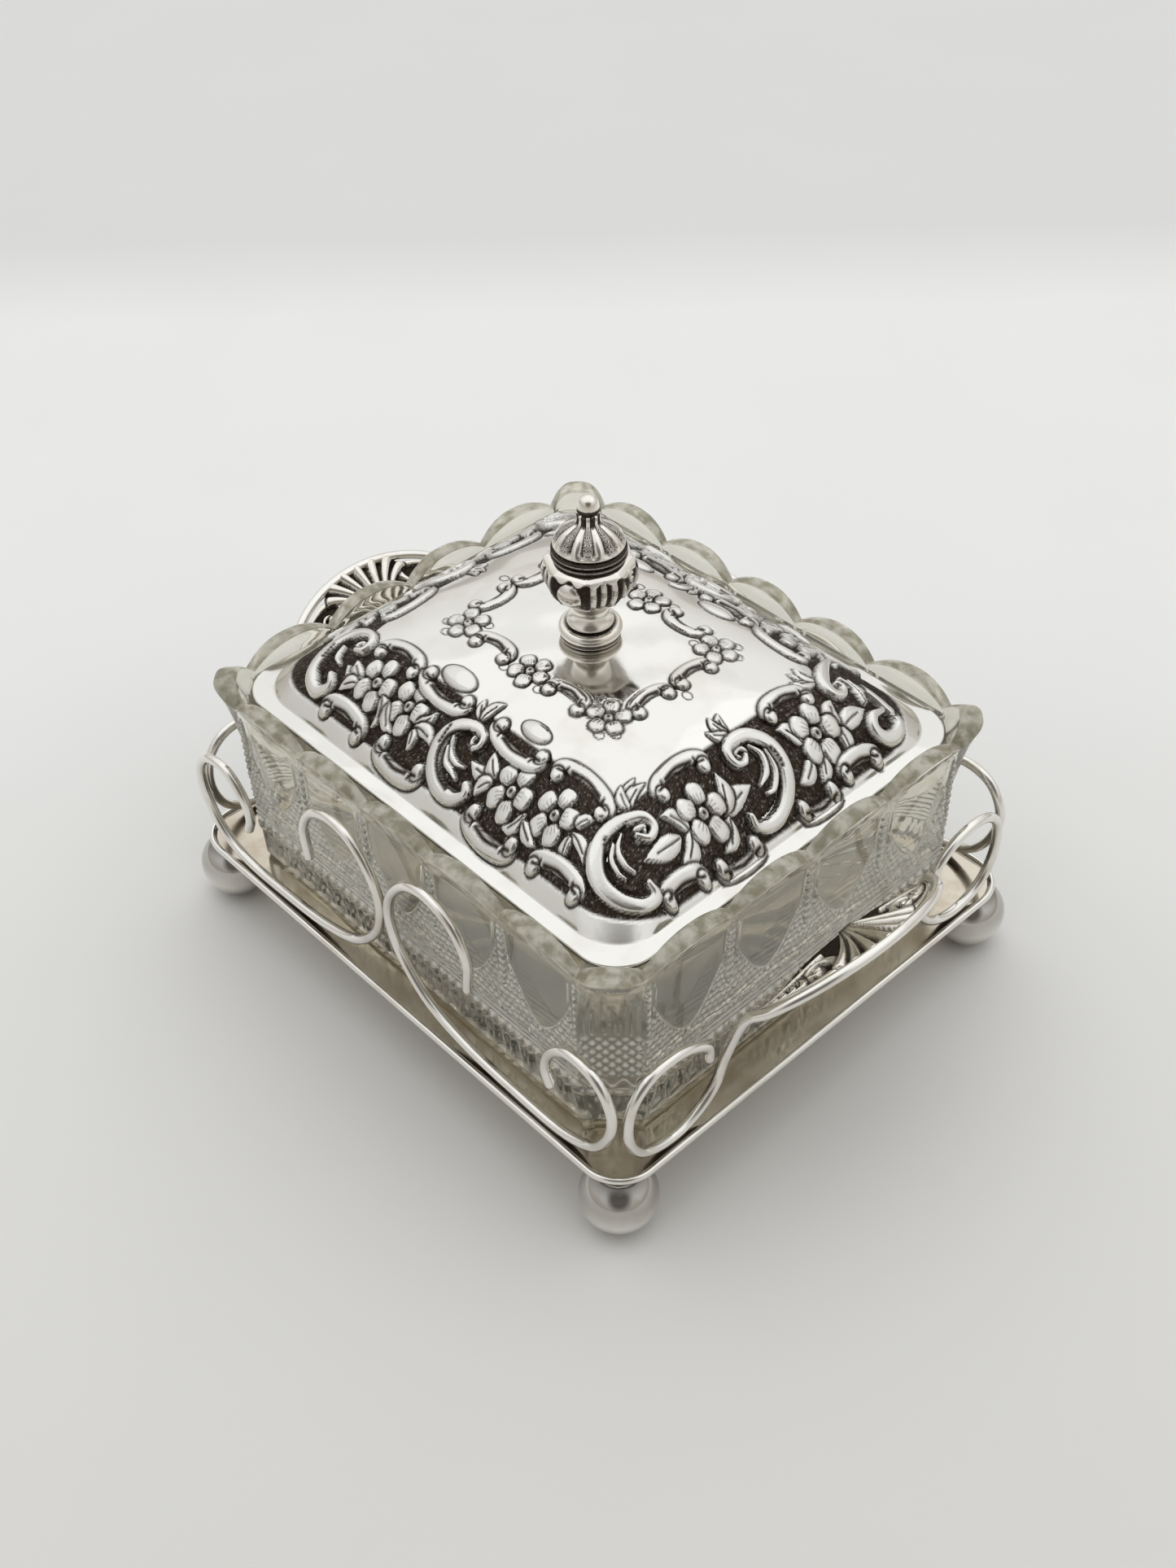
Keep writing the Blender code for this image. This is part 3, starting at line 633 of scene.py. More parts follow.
def silver_material(name, base, rough, tarnish=0.0, stipple=0.0, underside_shade=0.0):
    """Polished plate with faint wear; the dark attribute carries painted shade and painted reflection in the
    recesses and on shaded sides.

    The underside argument paints shade onto what faces down.
    """
    mat, tree, bsdf = nodes_of(name)
    link = tree.links.new
    where = add(tree, "ShaderNodeTexCoord").outputs["Object"]
    cloud = add(tree, "ShaderNodeTexNoise", Scale=90.0, Detail=4.0)
    fine = add(tree, "ShaderNodeTexNoise", Scale=900.0, Detail=3.0)
    for node in (cloud, fine):
        link(where, node.inputs["Vector"])
    attr = add(tree, "ShaderNodeAttribute", attribute_name="dark")
    spots = ramp(tree, cloud.outputs["Fac"], 0.52, 0.78, 0.0, min(0.30 + tarnish, 0.9))
    clean = mix_colour(tree, spots, base, tuple(c * f for c, f in zip(base, (0.66, 0.58, 0.47))))
    # painted shade colour, near black, laid where the dark attribute marks recesses and shaded sides
    recess = mix_colour(tree, fine.outputs["Fac"], (0.010, 0.008, 0.0065), (0.085, 0.062, 0.045))
    # painted shade: surfaces that face down are darkened
    if underside_shade:
        facing = add(tree, "ShaderNodeSeparateXYZ")
        link(add(tree, "ShaderNodeNewGeometry").outputs["Normal"], facing.inputs[0])
        under = ramp(tree, facing.outputs["Z"], -0.10, -0.75, 0.0, 0.75 * underside_shade)
        clean = mix_colour(tree, under, clean, UNDERSIDE_SHADE)
    link(mix_colour(tree, attr.outputs["Fac"], clean, recess), bsdf.inputs["Base Color"])
    bright = ramp(tree, cloud.outputs["Fac"], 0.3, 0.8, rough, rough + 0.10 + 0.2 * tarnish)
    blend = tree.nodes.new("ShaderNodeMix")
    link(ramp(tree, attr.outputs["Fac"], 0.5, 1.0, 0.0, 1.0), blend.inputs[0])
    link(bright, blend.inputs[2])
    blend.inputs[3].default_value = RECESS_ROUGH
    link(blend.outputs[0], bsdf.inputs["Roughness"])
    bsdf.inputs["Metallic"].default_value = 1.0
    wear = add(tree, "ShaderNodeBump", Strength=0.035, Distance=0.0002)
    link(fine.outputs["Fac"], wear.inputs["Height"])
    last = wear
    if stipple:
        pits = add(tree, "ShaderNodeTexVoronoi", Scale=1500.0)
        link(where, pits.inputs["Vector"])
        amount = tree.nodes.new("ShaderNodeMath")
        amount.operation = "MULTIPLY"
        link(pits.outputs["Distance"], amount.inputs[0])
        link(attr.outputs["Fac"], amount.inputs[1])
        last = add(tree, "ShaderNodeBump", Strength=stipple, Distance=0.0004)
        link(amount.outputs[0], last.inputs["Height"])
        link(wear.outputs["Normal"], last.inputs["Normal"])
    link(last.outputs["Normal"], bsdf.inputs["Normal"])
    return mat


def glass_material():
    mat, tree, bsdf = nodes_of("pressed_glass_look")
    link = tree.links.new
    where = add(tree, "ShaderNodeTexCoord").outputs["Object"]
    waves = add(tree, "ShaderNodeTexNoise", Scale=120.0, Detail=2.0)
    link(where, waves.inputs["Vector"])
    body = mix_colour(tree, waves.outputs["Fac"], (0.945, 0.925, 0.835), (0.98, 0.97, 0.91))
    streak = add(tree, "ShaderNodeTexNoise", Scale=260.0, Detail=3.0)
    link(where, streak.inputs["Vector"])
    band = mix_colour(tree, ramp(tree, streak.outputs["Fac"], 0.38, 0.62, 0.0, 1.0),
                      (0.40, 0.37, 0.26), (0.83, 0.80, 0.69))
    attr = add(tree, "ShaderNodeAttribute", attribute_name="dark")
    tone = mix_colour(tree, attr.outputs["Fac"], body, band)
    # painted light on the pressed pattern: a painted highlight on slopes that face up, less clear there, and
    # painted shade on slopes that face down
    lit = add(tree, "ShaderNodeAttribute", attribute_name="spark")
    painted_highlight = mix_colour(tree, ramp(tree, lit.outputs["Fac"], 0.0, 1.0, 0.0, 1.0), tone, (0.98, 0.98, 0.95))
    shade = ramp(tree, lit.outputs["Fac"], -1.0, 0.0, 0.75, 0.0)
    link(mix_colour(tree, shade, painted_highlight, (0.42, 0.41, 0.33)), bsdf.inputs["Base Color"])
    clear = ramp(tree, attr.outputs["Fac"], 0.0, 1.0, 0.885, 0.42)
    clear_minus_highlight = add(tree, "ShaderNodeMath")
    clear_minus_highlight.operation = "SUBTRACT"
    clear_minus_highlight.use_clamp = True
    link(clear, clear_minus_highlight.inputs[0])
    link(ramp(tree, lit.outputs["Fac"], 0.0, 1.0, 0.0, 0.62), clear_minus_highlight.inputs[1])
    link(clear_minus_highlight.outputs[0], bsdf.inputs["Transmission Weight"])
    bsdf.inputs["IOR"].default_value = 1.51
    tint = add(tree, "ShaderNodeVolumeAbsorption", Density=8.0)
    tint.inputs["Color"].default_value = (0.80, 0.765, 0.56, 1)
    link(tint.outputs[0], tree.nodes["Material Output"].inputs["Volume"])
    link(ramp(tree, waves.outputs["Fac"], 0.3, 0.7, 0.012, 0.035), bsdf.inputs["Roughness"])
    ripple = add(tree, "ShaderNodeBump", Strength=0.10, Distance=0.0006)
    link(waves.outputs["Fac"], ripple.inputs["Height"])
    link(ripple.outputs["Normal"], bsdf.inputs["Normal"])
    return mat


# ---------------------------------------------------------------- lid

def rounded_ring(hx, hy, r, corner, long_n, short_n):
    """Rounded rectangle starting at the top of the +X side, with fixed point counts."""
    pts = []
    centres = ((hx - r, hy - r), (-hx + r, hy - r), (-hx + r, -hy + r), (hx - r, -hy + r))
    for q, (cx, cy) in enumerate(centres):
        a = pi / 2 * q + pi / 2 * np.arange(corner) / corner
        pts.append(np.stack([cx + r * np.cos(a), cy + r * np.sin(a)], 1))
        nx, ny = centres[(q + 1) % 4]
        turn = pi / 2 * (q + 1)
        start = np.array([cx + r * cos(turn), cy + r * sin(turn)])
        stop = np.array([nx + r * cos(turn), ny + r * sin(turn)])
        count = long_n if q % 2 == 0 else short_n
        t = (np.arange(count) / count)[:, None]
        pts.append(start + (stop - start) * t)
    return np.vstack(pts)


def lid_height(inset):
    """Height of the lid's outside at a distance in from its edge: a flange, then the dome."""
    t = np.clip((inset - LID_FLANGE) / LID_SHOULDER, 0, 1)
    flange = LID_LIFT * np.minimum(inset / LID_FLANGE, 1)
    return LID_Z + flange + (LID_RISE - LID_LIFT) * (1 - (1 - t) ** LID_CURVE)


def lid_rings(insets, counts):
    rings = []
    for e in insets:
        hx, hy = LID_X - e, LID_Y - e
        ring = rounded_ring(hx, hy, min(LID_R + 0.35 * e, hy - 0.5), *counts)
        rings.append(np.column_stack([ring, np.full(len(ring), float(lid_height(e)))]))
    return rings


def plateau_rings(count, counts):
    last = LID_FLANGE + LID_SHOULDER
    edge = lid_rings([last], counts)[0]
    a = np.arctan2(edge[:, 1], edge[:, 0])
    rings = []
    for r_out in np.linspace(0, 1, count + 1)[1:]:
        hole = np.column_stack([BORE_R * np.cos(a), BORE_R * np.sin(a), np.full(len(a), TOP_Z)])
        rings.append(edge * (1 - r_out) + hole * r_out)
    return rings


def build_lid(mat, sheet):
    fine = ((110, 470, 380))
    step = 0.25
    insets = np.linspace(0, LID_FLANGE + LID_SHOULDER, int((LID_FLANGE + LID_SHOULDER) / step))
    top = np.array(lid_rings(insets, fine) + plateau_rings(int(22 / step), fine))
    along = np.roll(top, -1, 1) - np.roll(top, 1, 1)
    across = np.gradient(top, axis=0)
    normal = np.cross(along, across)
    normal /= np.maximum(np.linalg.norm(normal, axis=2, keepdims=True), 1e-9)
    normal[normal[..., 2] < 0] *= -1
    h, dark = sheet.sample(top[..., 0], top[..., 1])
    edge_fade = np.clip(np.arange(len(top)) / 4.0, 0, 1)[:, None]
    hole_fade = np.clip((len(top) - 1 - np.arange(len(top))) / 4.0, 0, 1)[:, None]
    wave = 0.10 * np.sin(top[..., 0] * 0.31) * np.cos(top[..., 1] * 0.27 + 0.6)
    raised = top + normal * ((h + wave) * edge_fade * hole_fade)[..., None]
    low_insets = np.linspace(0, LID_FLANGE + LID_SHOULDER, 40)
    low = np.array(lid_rings(low_insets, fine) + plateau_rings(12, fine))[::-1].copy()
    low[..., 2] -= LID_T
    rings = np.concatenate([raised, low])
    shade = np.concatenate([dark * edge_fade, np.zeros(low.shape[:2])])
    place(skin("lid_embossed", rings, mat, shade, closed=True), "lid", "lid_shell")


# ---------------------------------------------------------------- dish

def panel_pattern(s, width, z):
    """How far the pressed pattern of one straight panel stands out at s (from its middle) and z."""
    half = width / 2
    from_edge = half - np.abs(s)
    oval = 2.0 * np.sqrt(np.clip(1 - ((z - 61.0) / 11.5) ** 2, 0, 1))
    bead_z = (z - 50.0) / 2.3
    bead = np.sqrt(np.clip(1 - ((bead_z - np.round(bead_z)) * 2) ** 2 - (from_edge / 1.25) ** 2, 0, 1))
    in_oval = from_edge < oval
    out = np.where(in_oval, 0.55 * bead, 0.0)
    out -= 0.32 * np.exp(-((from_edge - oval - 0.25) / 0.28) ** 2) * (oval > 0.2)
    tongue = 44.5 + 16.0 * np.power(np.clip(np.abs(s) / (half - 1.8), 0, 1), 1.7)
    out += 0.28 * np.exp(-((z - tongue) / 0.4) ** 2) * ~in_oval
    row = (z - 39.5 + 0.10 * np.abs(s)) / 2.05
    saw = 1 - (row - np.floor(row))
    tooth = 0.45 + 0.55 * np.abs(np.cos(pi * (s + 0.9 * np.floor(row)) / 1.9))
    ribbed = (z > 39.5) & (z < tongue - 0.4) & ~in_oval
    out += np.where(ribbed, 0.62 * saw ** 1.4 * tooth, 0.0)
    out += 0.38 * (np.exp(-((z - 38.4) / 0.4) ** 2) + np.exp(-((z - 36.6) / 0.4) ** 2))
    flute = np.abs(np.sin(pi * s / 3.1))
    drop = 34.8 - 8.5 * (0.5 + 0.5 * np.cos(2 * pi * s / 6.2))
    out += np.where((z < 35.2) & (z > 23), 0.55 * flute * np.clip((z - drop + 6) / 6, 0, 1), 0.0)
    return out


def corner_pattern(s, width, z):
    """Pressed pattern of a corner panel: fluted above, diamond hobnails below."""
    flutes = 0.16 * np.cos(2 * pi * s / 2.6) * np.clip((66 - z) / 4, 0, 1) * np.clip((z - 51) / 3, 0, 1)
    hob = np.abs(np.cos(pi * (s + z) / 3.0)) * np.abs(np.cos(pi * (s - z) / 3.0))
    fade = np.clip((53 - z) / 3, 0, 1) * np.clip((z - 37.5) / 1, 0, 1)
    arcs = 0.35 * np.exp(-((z - 35.6 + 1.2 * np.cos(2 * pi * s / 5.1)) / 0.4) ** 2)
    low = np.where(z < 33, 0.4 * np.abs(np.sin(pi * s / 3.1)) * np.clip((z - 23) / 4, 0, 1), 0)
    inside = np.clip((width / 2 - np.abs(s)) / 0.8, 0, 1)
    return (flutes + 0.6 * hob * fade + arcs + low) * inside


def dish_outline(inset, steps):
    """Base points, outward normals, scallop bump, and panel data round the dish."""
    x, y = GLASS_X - inset, GLASS_Y - inset
    c = max(GLASS_C - inset * (2 - sqrt(2)), 0.5)
    corners = np.array([(x, -y + c), (x, y - c), (x - c, y), (-x + c, y), (-x, y - c),
                        (-x, -y + c), (-x + c, -y), (x - c, -y)], float)
    counts = [END_SCALLOPS, 1, SIDE_SCALLOPS, 1] * 2
    base, normal, bump, corner, along, width = [], [], [], [], [], []
    for k in range(8):
        a, b = corners[k], corners[(k + 1) % 8]
        way = b - a
        span = np.hypot(*way)
        way /= span
        m = np.arange(counts[k] * steps)
        phase = (m % steps) / steps
        base.append(a + (b - a) * (m / len(m))[:, None])
        normal.append(np.tile([way[1], -way[0]], (len(m), 1)))
        bump.append(1 - np.abs(2 * phase - 1) ** (CORNER_ROUND if counts[k] == 1 else SCALLOP_ROUND))
        corner.append(np.full(len(m), counts[k] == 1))
        along.append((phase - 0.5) * span / counts[k])
        width.append(np.full(len(m), span / counts[k]))
    return [np.concatenate(v) for v in (base, normal, bump, corner, along, width)]


def build_dish(mat):
    steps = 60
    rows = 130
    base, normal, bump, corner, along, width = dish_outline(0.0, steps)
    top = VALLEY_Z + np.where(corner, CORNER_H, SCALLOP_H) * bump
    reach = np.where(corner, CORNER_OUT, SCALLOP_OUT) * bump

    def ring(inset, z, flare, press=0.0, side_flare=None):
        b = dish_outline(inset, steps)[0]
        lean = flare if side_flare is None else np.where(corner, flare, side_flare)
        xy = b + normal * (reach * lean + press)[:, None]
        return np.column_stack([xy, np.broadcast_to(z, len(xy))])

    rings = [ring(2.6, GLASS_Z0, 0), ring(1.6, GLASS_Z0 + 0.3, 0), ring(1.1, GLASS_Z0 + 1.1, 0)]
    pressed, heights = [], []
    for v in np.linspace(0, 1, rows):
        z = 22.6 + (top - 1.8 - 22.6) * v
        inset = np.interp(v, (0, 0.17, 0.20, 0.24, 0.94, 1), (1.0, 0.9, 0.3, 0.5, 0.35, -0.05))
        flare = np.clip((z - 54) / (top - 1.6 - 54), 0, 1) ** 1.25
        press = np.where(corner, corner_pattern(along, width, z), panel_pattern(along, width, z))
        press = 1.15 * press * np.clip((top - 3.4 - z) / 2.0, 0, 1)
        pressed.append(press)
        heights.append(z)
        rings.append(ring(float(inset), z, flare, press))
    rim_at = len(rings)
    # inset, drop below the top, then the lean of the corners and of the straight sides
    for inset, drop, flare, side in ((-0.22, 1.35, 1.0, 1.0), (-0.3, 1.0, 1.0, 1.0), (-0.12, 0.68, 1.0, 1.0),
                                     (0.25, 0.40, 1.0, 1.0), (0.85, 0.18, 0.9, 0.80),
                                     (1.45, 0.04, 0.76, 0.50),
                                     (1.95, 0.0, 0.64, 0.22), (2.3, 0.16, 0.55, 0.05),
                                     (2.45, 0.5, 0.5, 0.0)):
        rings.append(ring(inset, top - drop, flare, side_flare=side))
    rim_to = len(rings)
    for t in (0.96, 0.75, 0.5, 0.25, 0.08):
        rings.append(ring(2.55, LEDGE_Z + (top - 0.6 - LEDGE_Z) * t, 0.5 * t, side_flare=0.0))
    rings.append(ring(2.55, LEDGE_Z, 0))
    rings.append(ring(6.6, LEDGE_Z - 0.2, 0))
    rings.append(ring(6.9, LEDGE_Z - 0.7, 0))
    for z, inset in ((68, 5.9), (64, 5.6), (56, 5.7), (48, 5.9), (40, 6.1), (32, 6.3), (29.5, 6.5),
                     (27.2, 7.4), (26.0, 8.9)):
        rings.append(ring(inset, z, 0))
    floor = ring(9.5, FLOOR_Z, 0)
    middle = np.array([0, 0, FLOOR_Z])
    for t in np.linspace(0, 0.97, 24):
        rings.append(floor * (1 - t) + middle * t)
    bottom = []
    under = ring(2.6, GLASS_Z0, 0)
    for t in np.linspace(0.97, 0.02, 60):
        r = under * (1 - t) + np.array([0, 0, GLASS_Z0]) * t
        a = np.arctan2(r[:, 1], r[:, 0])
        star = np.abs(np.sin(8 * a)) * np.clip((1 - t) * 1.2, 0, 1)
        cells = np.abs(np.sin(pi * r[:, 0] / 6)) * np.abs(np.sin(pi * r[:, 1] / 6))
        r[:, 2] += 0.15 + 0.9 * np.maximum(star * (t > 0.35), cells * (t <= 0.35))
        bottom.append(r)
    every = bottom + rings
    tint = np.zeros((len(every), len(base)))
    tint[len(bottom) + rim_at + 1:len(bottom) + rim_to] = 1.0
    # painted light from the slope of the pressed pattern: highlight where it faces up, shade where it faces
    # down
    spark = np.zeros((len(every), len(base)))
    first = len(bottom) + 3
    rise = np.gradient(np.array(pressed), axis=0) / np.gradient(np.array(heights), axis=0)
    spark[first:first + len(pressed)] = np.clip(-1.3 * rise, -1, 1) * (np.abs(rise) > 0.08)
    place(skin("dish_pressed", every, mat, tint, spark=spark), "dish", "glass_dish")


# ---------------------------------------------------------------- stand

SIDE_SCROLL = [(30.2, 46.0), (30.6, 55.5), (26.0, 63.5), (17.8, 67.0), (9.7, 64.7), (3.5, 57.0), (1.7, 47.8),
               (5.0, 37.8), (14.2, 28.3), (28.0, 23.6), (45.0, 22.0), (60.5, 22.0), (71.2, 26.2),
               (76.8, 35.0),
               (77.6, 44.0), (73.0, 51.2), (64.6, 52.8), (58.6, 48.2), (56.3, 41.4), (57.8, 36.4)]
END_CURL = [(40.0, 40.6), (41.0, 45.4), (48.0, 49.8), (57.6, 50.0), (64.0, 44.4), (65.2, 34.2), (61.0, 25.4),
            (52.0, 22.0), (43.8, 23.8), (37.6, 29.0), (34.6, 36.4)]


def arch_point(side, angle, inset=0.0):
    """Point on the leaning arch of one end, or inset from it towards the arch's middle."""
    s = (ARCH_H - inset) * cos(angle)
    y = (ARCH_HALF - inset) * sin(angle)
    x = END_X + s * sin(ARCH_LEAN)
    z = PIVOT_Z[side] + s * cos(ARCH_LEAN)
    return np.array([side * x, y, z])


JOINTS = ((79.8, 65.2), (77.6, 68.4), (79.8, 39.0), (36.0, 68.4))


def wire_shade_and_joints(rings):
    """Painted shade under the low runs, and darker round the soldered touching points."""
    x, y, z = np.abs(rings[..., 0]), np.abs(rings[..., 1]), rings[..., 2]
    middle = rings.mean(1, keepdims=True)
    # painted shade on the underside of the low runs of wire
    under = np.clip((middle[..., 2] - z) / 0.5, 0, 1) * np.clip((27 - z) / 4, 0, 1)
    near = np.zeros(z.shape)
    for jx, jy in JOINTS:
        near = np.maximum(near, np.clip(1.3 - np.hypot(x - jx, y - jy) / 2.4, 0, 1))
    near *= np.clip((44 - z) / 12, 0, 1)
    facing = np.where(np.abs(middle[..., 1]) > 66, np.abs(middle[..., 1]) - y, np.abs(middle[..., 0]) - x)
    return np.clip(0.75 * under + 0.8 * near * np.clip(0.4 + facing, 0, 1), 0, 0.92)


def build_stand(mat):
    for side, word in ((-1, "front"), (1, "back")):
        for half, tag in ((-1, "left"), (1, "right")):
            path = smooth_path([(half * x, side * SIDE_Y, z) for x, z in SIDE_SCROLL], 0.7)
            name = "side_scroll_%s_%s" % (word, tag)
            place(tube("wire_" + name, path, WIRE_R, mat, up=(0, 1, 0), dark=wire_shade_and_joints),
                  "stand", name)
    for side, tag in ((1, "right"), (-1, "left")):
        half = [(side * END_X, y, z) for y, z in END_CURL]
        arch = [tuple(arch_point(side, radians(a))) for a in range(80, -81, -16)]
        other = [(x, -y, z) for x, y, z in reversed(half)]
        path = smooth_path(half + arch + other, 0.7)
        place(tube("wire_end_" + tag, path, WIRE_R, mat, up=(1, 0, 0), dark=wire_shade_and_joints),
              "stand", "end_frame_" + tag)
    ring = rounded_ring(TRAY_X - RIM_W, TRAY_Y - RIM_W, TRAY_R - RIM_W, 24, 40, 34)
    path = np.column_stack([ring, np.full(len(ring), RIM_Z)])
    rim = tube("rolled_rim", path, RIM_W, mat, 16, True, oval=RIM_H / RIM_W)
    place(rim, "stand", "tray_rim")
    low = atan2(-BALL_CZ, sqrt(BALL_R ** 2 - BALL_CZ ** 2))
    high = atan2(BALL_TOP - BALL_CZ, sqrt(BALL_R ** 2 - (BALL_TOP - BALL_CZ) ** 2))
    angles = np.linspace(low, high, 40)
    profile = [(BALL_R * cos(a), max(BALL_CZ + BALL_R * sin(a), 0.0)) for a in angles]
    height = np.array([z for _, z in profile])
    # painted reflection and shade: darker up each ball towards the tray's underside, darkest where it meets
    # the tray
    dark = 0.42 * np.clip((height - 7.5) / 5.0, 0, 1) + 0.4 * np.clip((height - 15.6) / 2.0, 0, 1)
    for tag, sx, sy in (("front_left", -1, -1), ("front_right", 1, -1),
                        ("back_right", 1, 1), ("back_left", -1, 1)):
        ball = turned("ball_" + tag, profile, mat, (sx * FOOT_X, sy * FOOT_Y), dark=dark)
        place(ball, "stand", "foot_" + tag)


def draw_handle():
    """Cast ornament, drawn flat: x across the handle, y from the inner edge (0) to the arch (16)."""
    sheet = Relief(-34, 34, -2, 19, 0.12)
    # painted shade: the ground between the cast ornament starts fully dark
    sheet.dark += 1.0
    sheet.h -= 0.4
    for s in (1, -1):
        sheet.stroke([(s * 31, 13.0), (s * 26, 14.2), (s * 19, 15.4), (s * 12, 15.0), (s * 8.6, 11.6),
                      (s * 9.6, 7.4), (s * 13.4, 6.2), (s * 15.8, 8.8), (s * 14.2, 11.2),
                      (s * 12.2, 9.8)],
                     [0.7, 1.0, 1.2, 1.3, 1.3, 1.2, 1.0, 0.8, 0.7, 0.8], 1.1)
        sheet.oval(s * 12.9, 9.3, 1.1, 1.1, 0, 1.2)
        for k in range(5):
            x = 17.5 + 2.7 * k
            sheet.leaf((s * x, 6.0 - 0.6 * k), (s * (x + 3.4), 12.6 - 0.4 * k), 1.05, s * 0.25)
        for k in range(4):
            x = 16.0 + 3.4 * k
            sheet.leaf((s * (x + 1), 5.2), (s * (x - 1.6), 1.4), 0.95, -s * 0.2)
        sheet.stroke([(s * 9, 3.6), (s * 16, 4.4), (s * 24, 5.0), (s * 31, 7.4)], [0.5, 0.8, 0.8, 0.4], 0.9)
    for k in range(-3, 4):
        a = k * radians(19)
        tip = (15.6 * sin(a) * 0.78, -1.0 + 18.4 * cos(a * 0.62))
        rib = [(0.5 * k, 1.2), (tip[0] * 0.55, tip[1] * 0.55), tip]
        sheet.stroke(rib, [0.26, 0.62, 0.98, 1.28], 1.5, sharp=2.4)
    return sheet


HANDLE_SWEEP = radians(74)      # half the angle of the arch that the casting fills


def build_handles(mat, sheet):
    nu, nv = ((260, 70))
    for side, tag in ((1, "right"), (-1, "left")):
        grid = np.zeros((nu + 1, nv + 1, 3))
        flat = np.zeros((nu + 1, nv + 1, 2))
        for i in range(nu + 1):
            u = 2.0 * i / nu - 1.0
            angle = HANDLE_SWEEP * u
            shell = 2.2 * np.clip(1 - abs(u / 0.36) ** 4, 0, 1)
            outer = arch_point(side, angle, WIRE_R + GAP + PLATE_T / 2 - 0.4 - shell)
            droop = PIVOT_Z[side] + 9.0 - 6.0 * u * u
            inner = np.array([side * (END_X + 3.2), 26.0 * sin(angle) / sin(HANDLE_SWEEP), droop])
            inner = inner + (outer - inner) * 0.75 * u ** 4
            v = np.linspace(0, 1, nv + 1)[:, None]
            grid[i] = inner + (outer - inner) * v
            flat[i, :, 0] = u * 31.0
            flat[i, :, 1] = 16.0 * v[:, 0]
        along = np.gradient(grid, axis=0)
        across = np.gradient(grid, axis=1)
        normal = np.cross(along, across)
        normal /= np.maximum(np.linalg.norm(normal, axis=2, keepdims=True), 1e-9)
        normal[normal[..., 2] < 0] *= -1
        h, dark = sheet.sample(flat[..., 0], flat[..., 1])
        top = grid + normal * (0.1 + 0.9 * h)[..., None]
        low = (grid - normal * 0.9)[:, ::-1]
        rings = np.concatenate([top, low], 1)
        # painted shade on the back of the casting
        shade = np.concatenate([dark, np.full(dark.shape, 0.6)], 1)
        place(skin("cast_handle_" + tag, rings, mat, shade), "stand", "handle_" + tag)


# ---------------------------------------------------------------- finial

def slimmed(profile, part):
    """Narrows a turned profile outside the stud hole, keeping its heights."""
    return [(BORE_R + (r - BORE_R) * SLIM[part] if r > BORE_R else r, z) for r, z in profile]


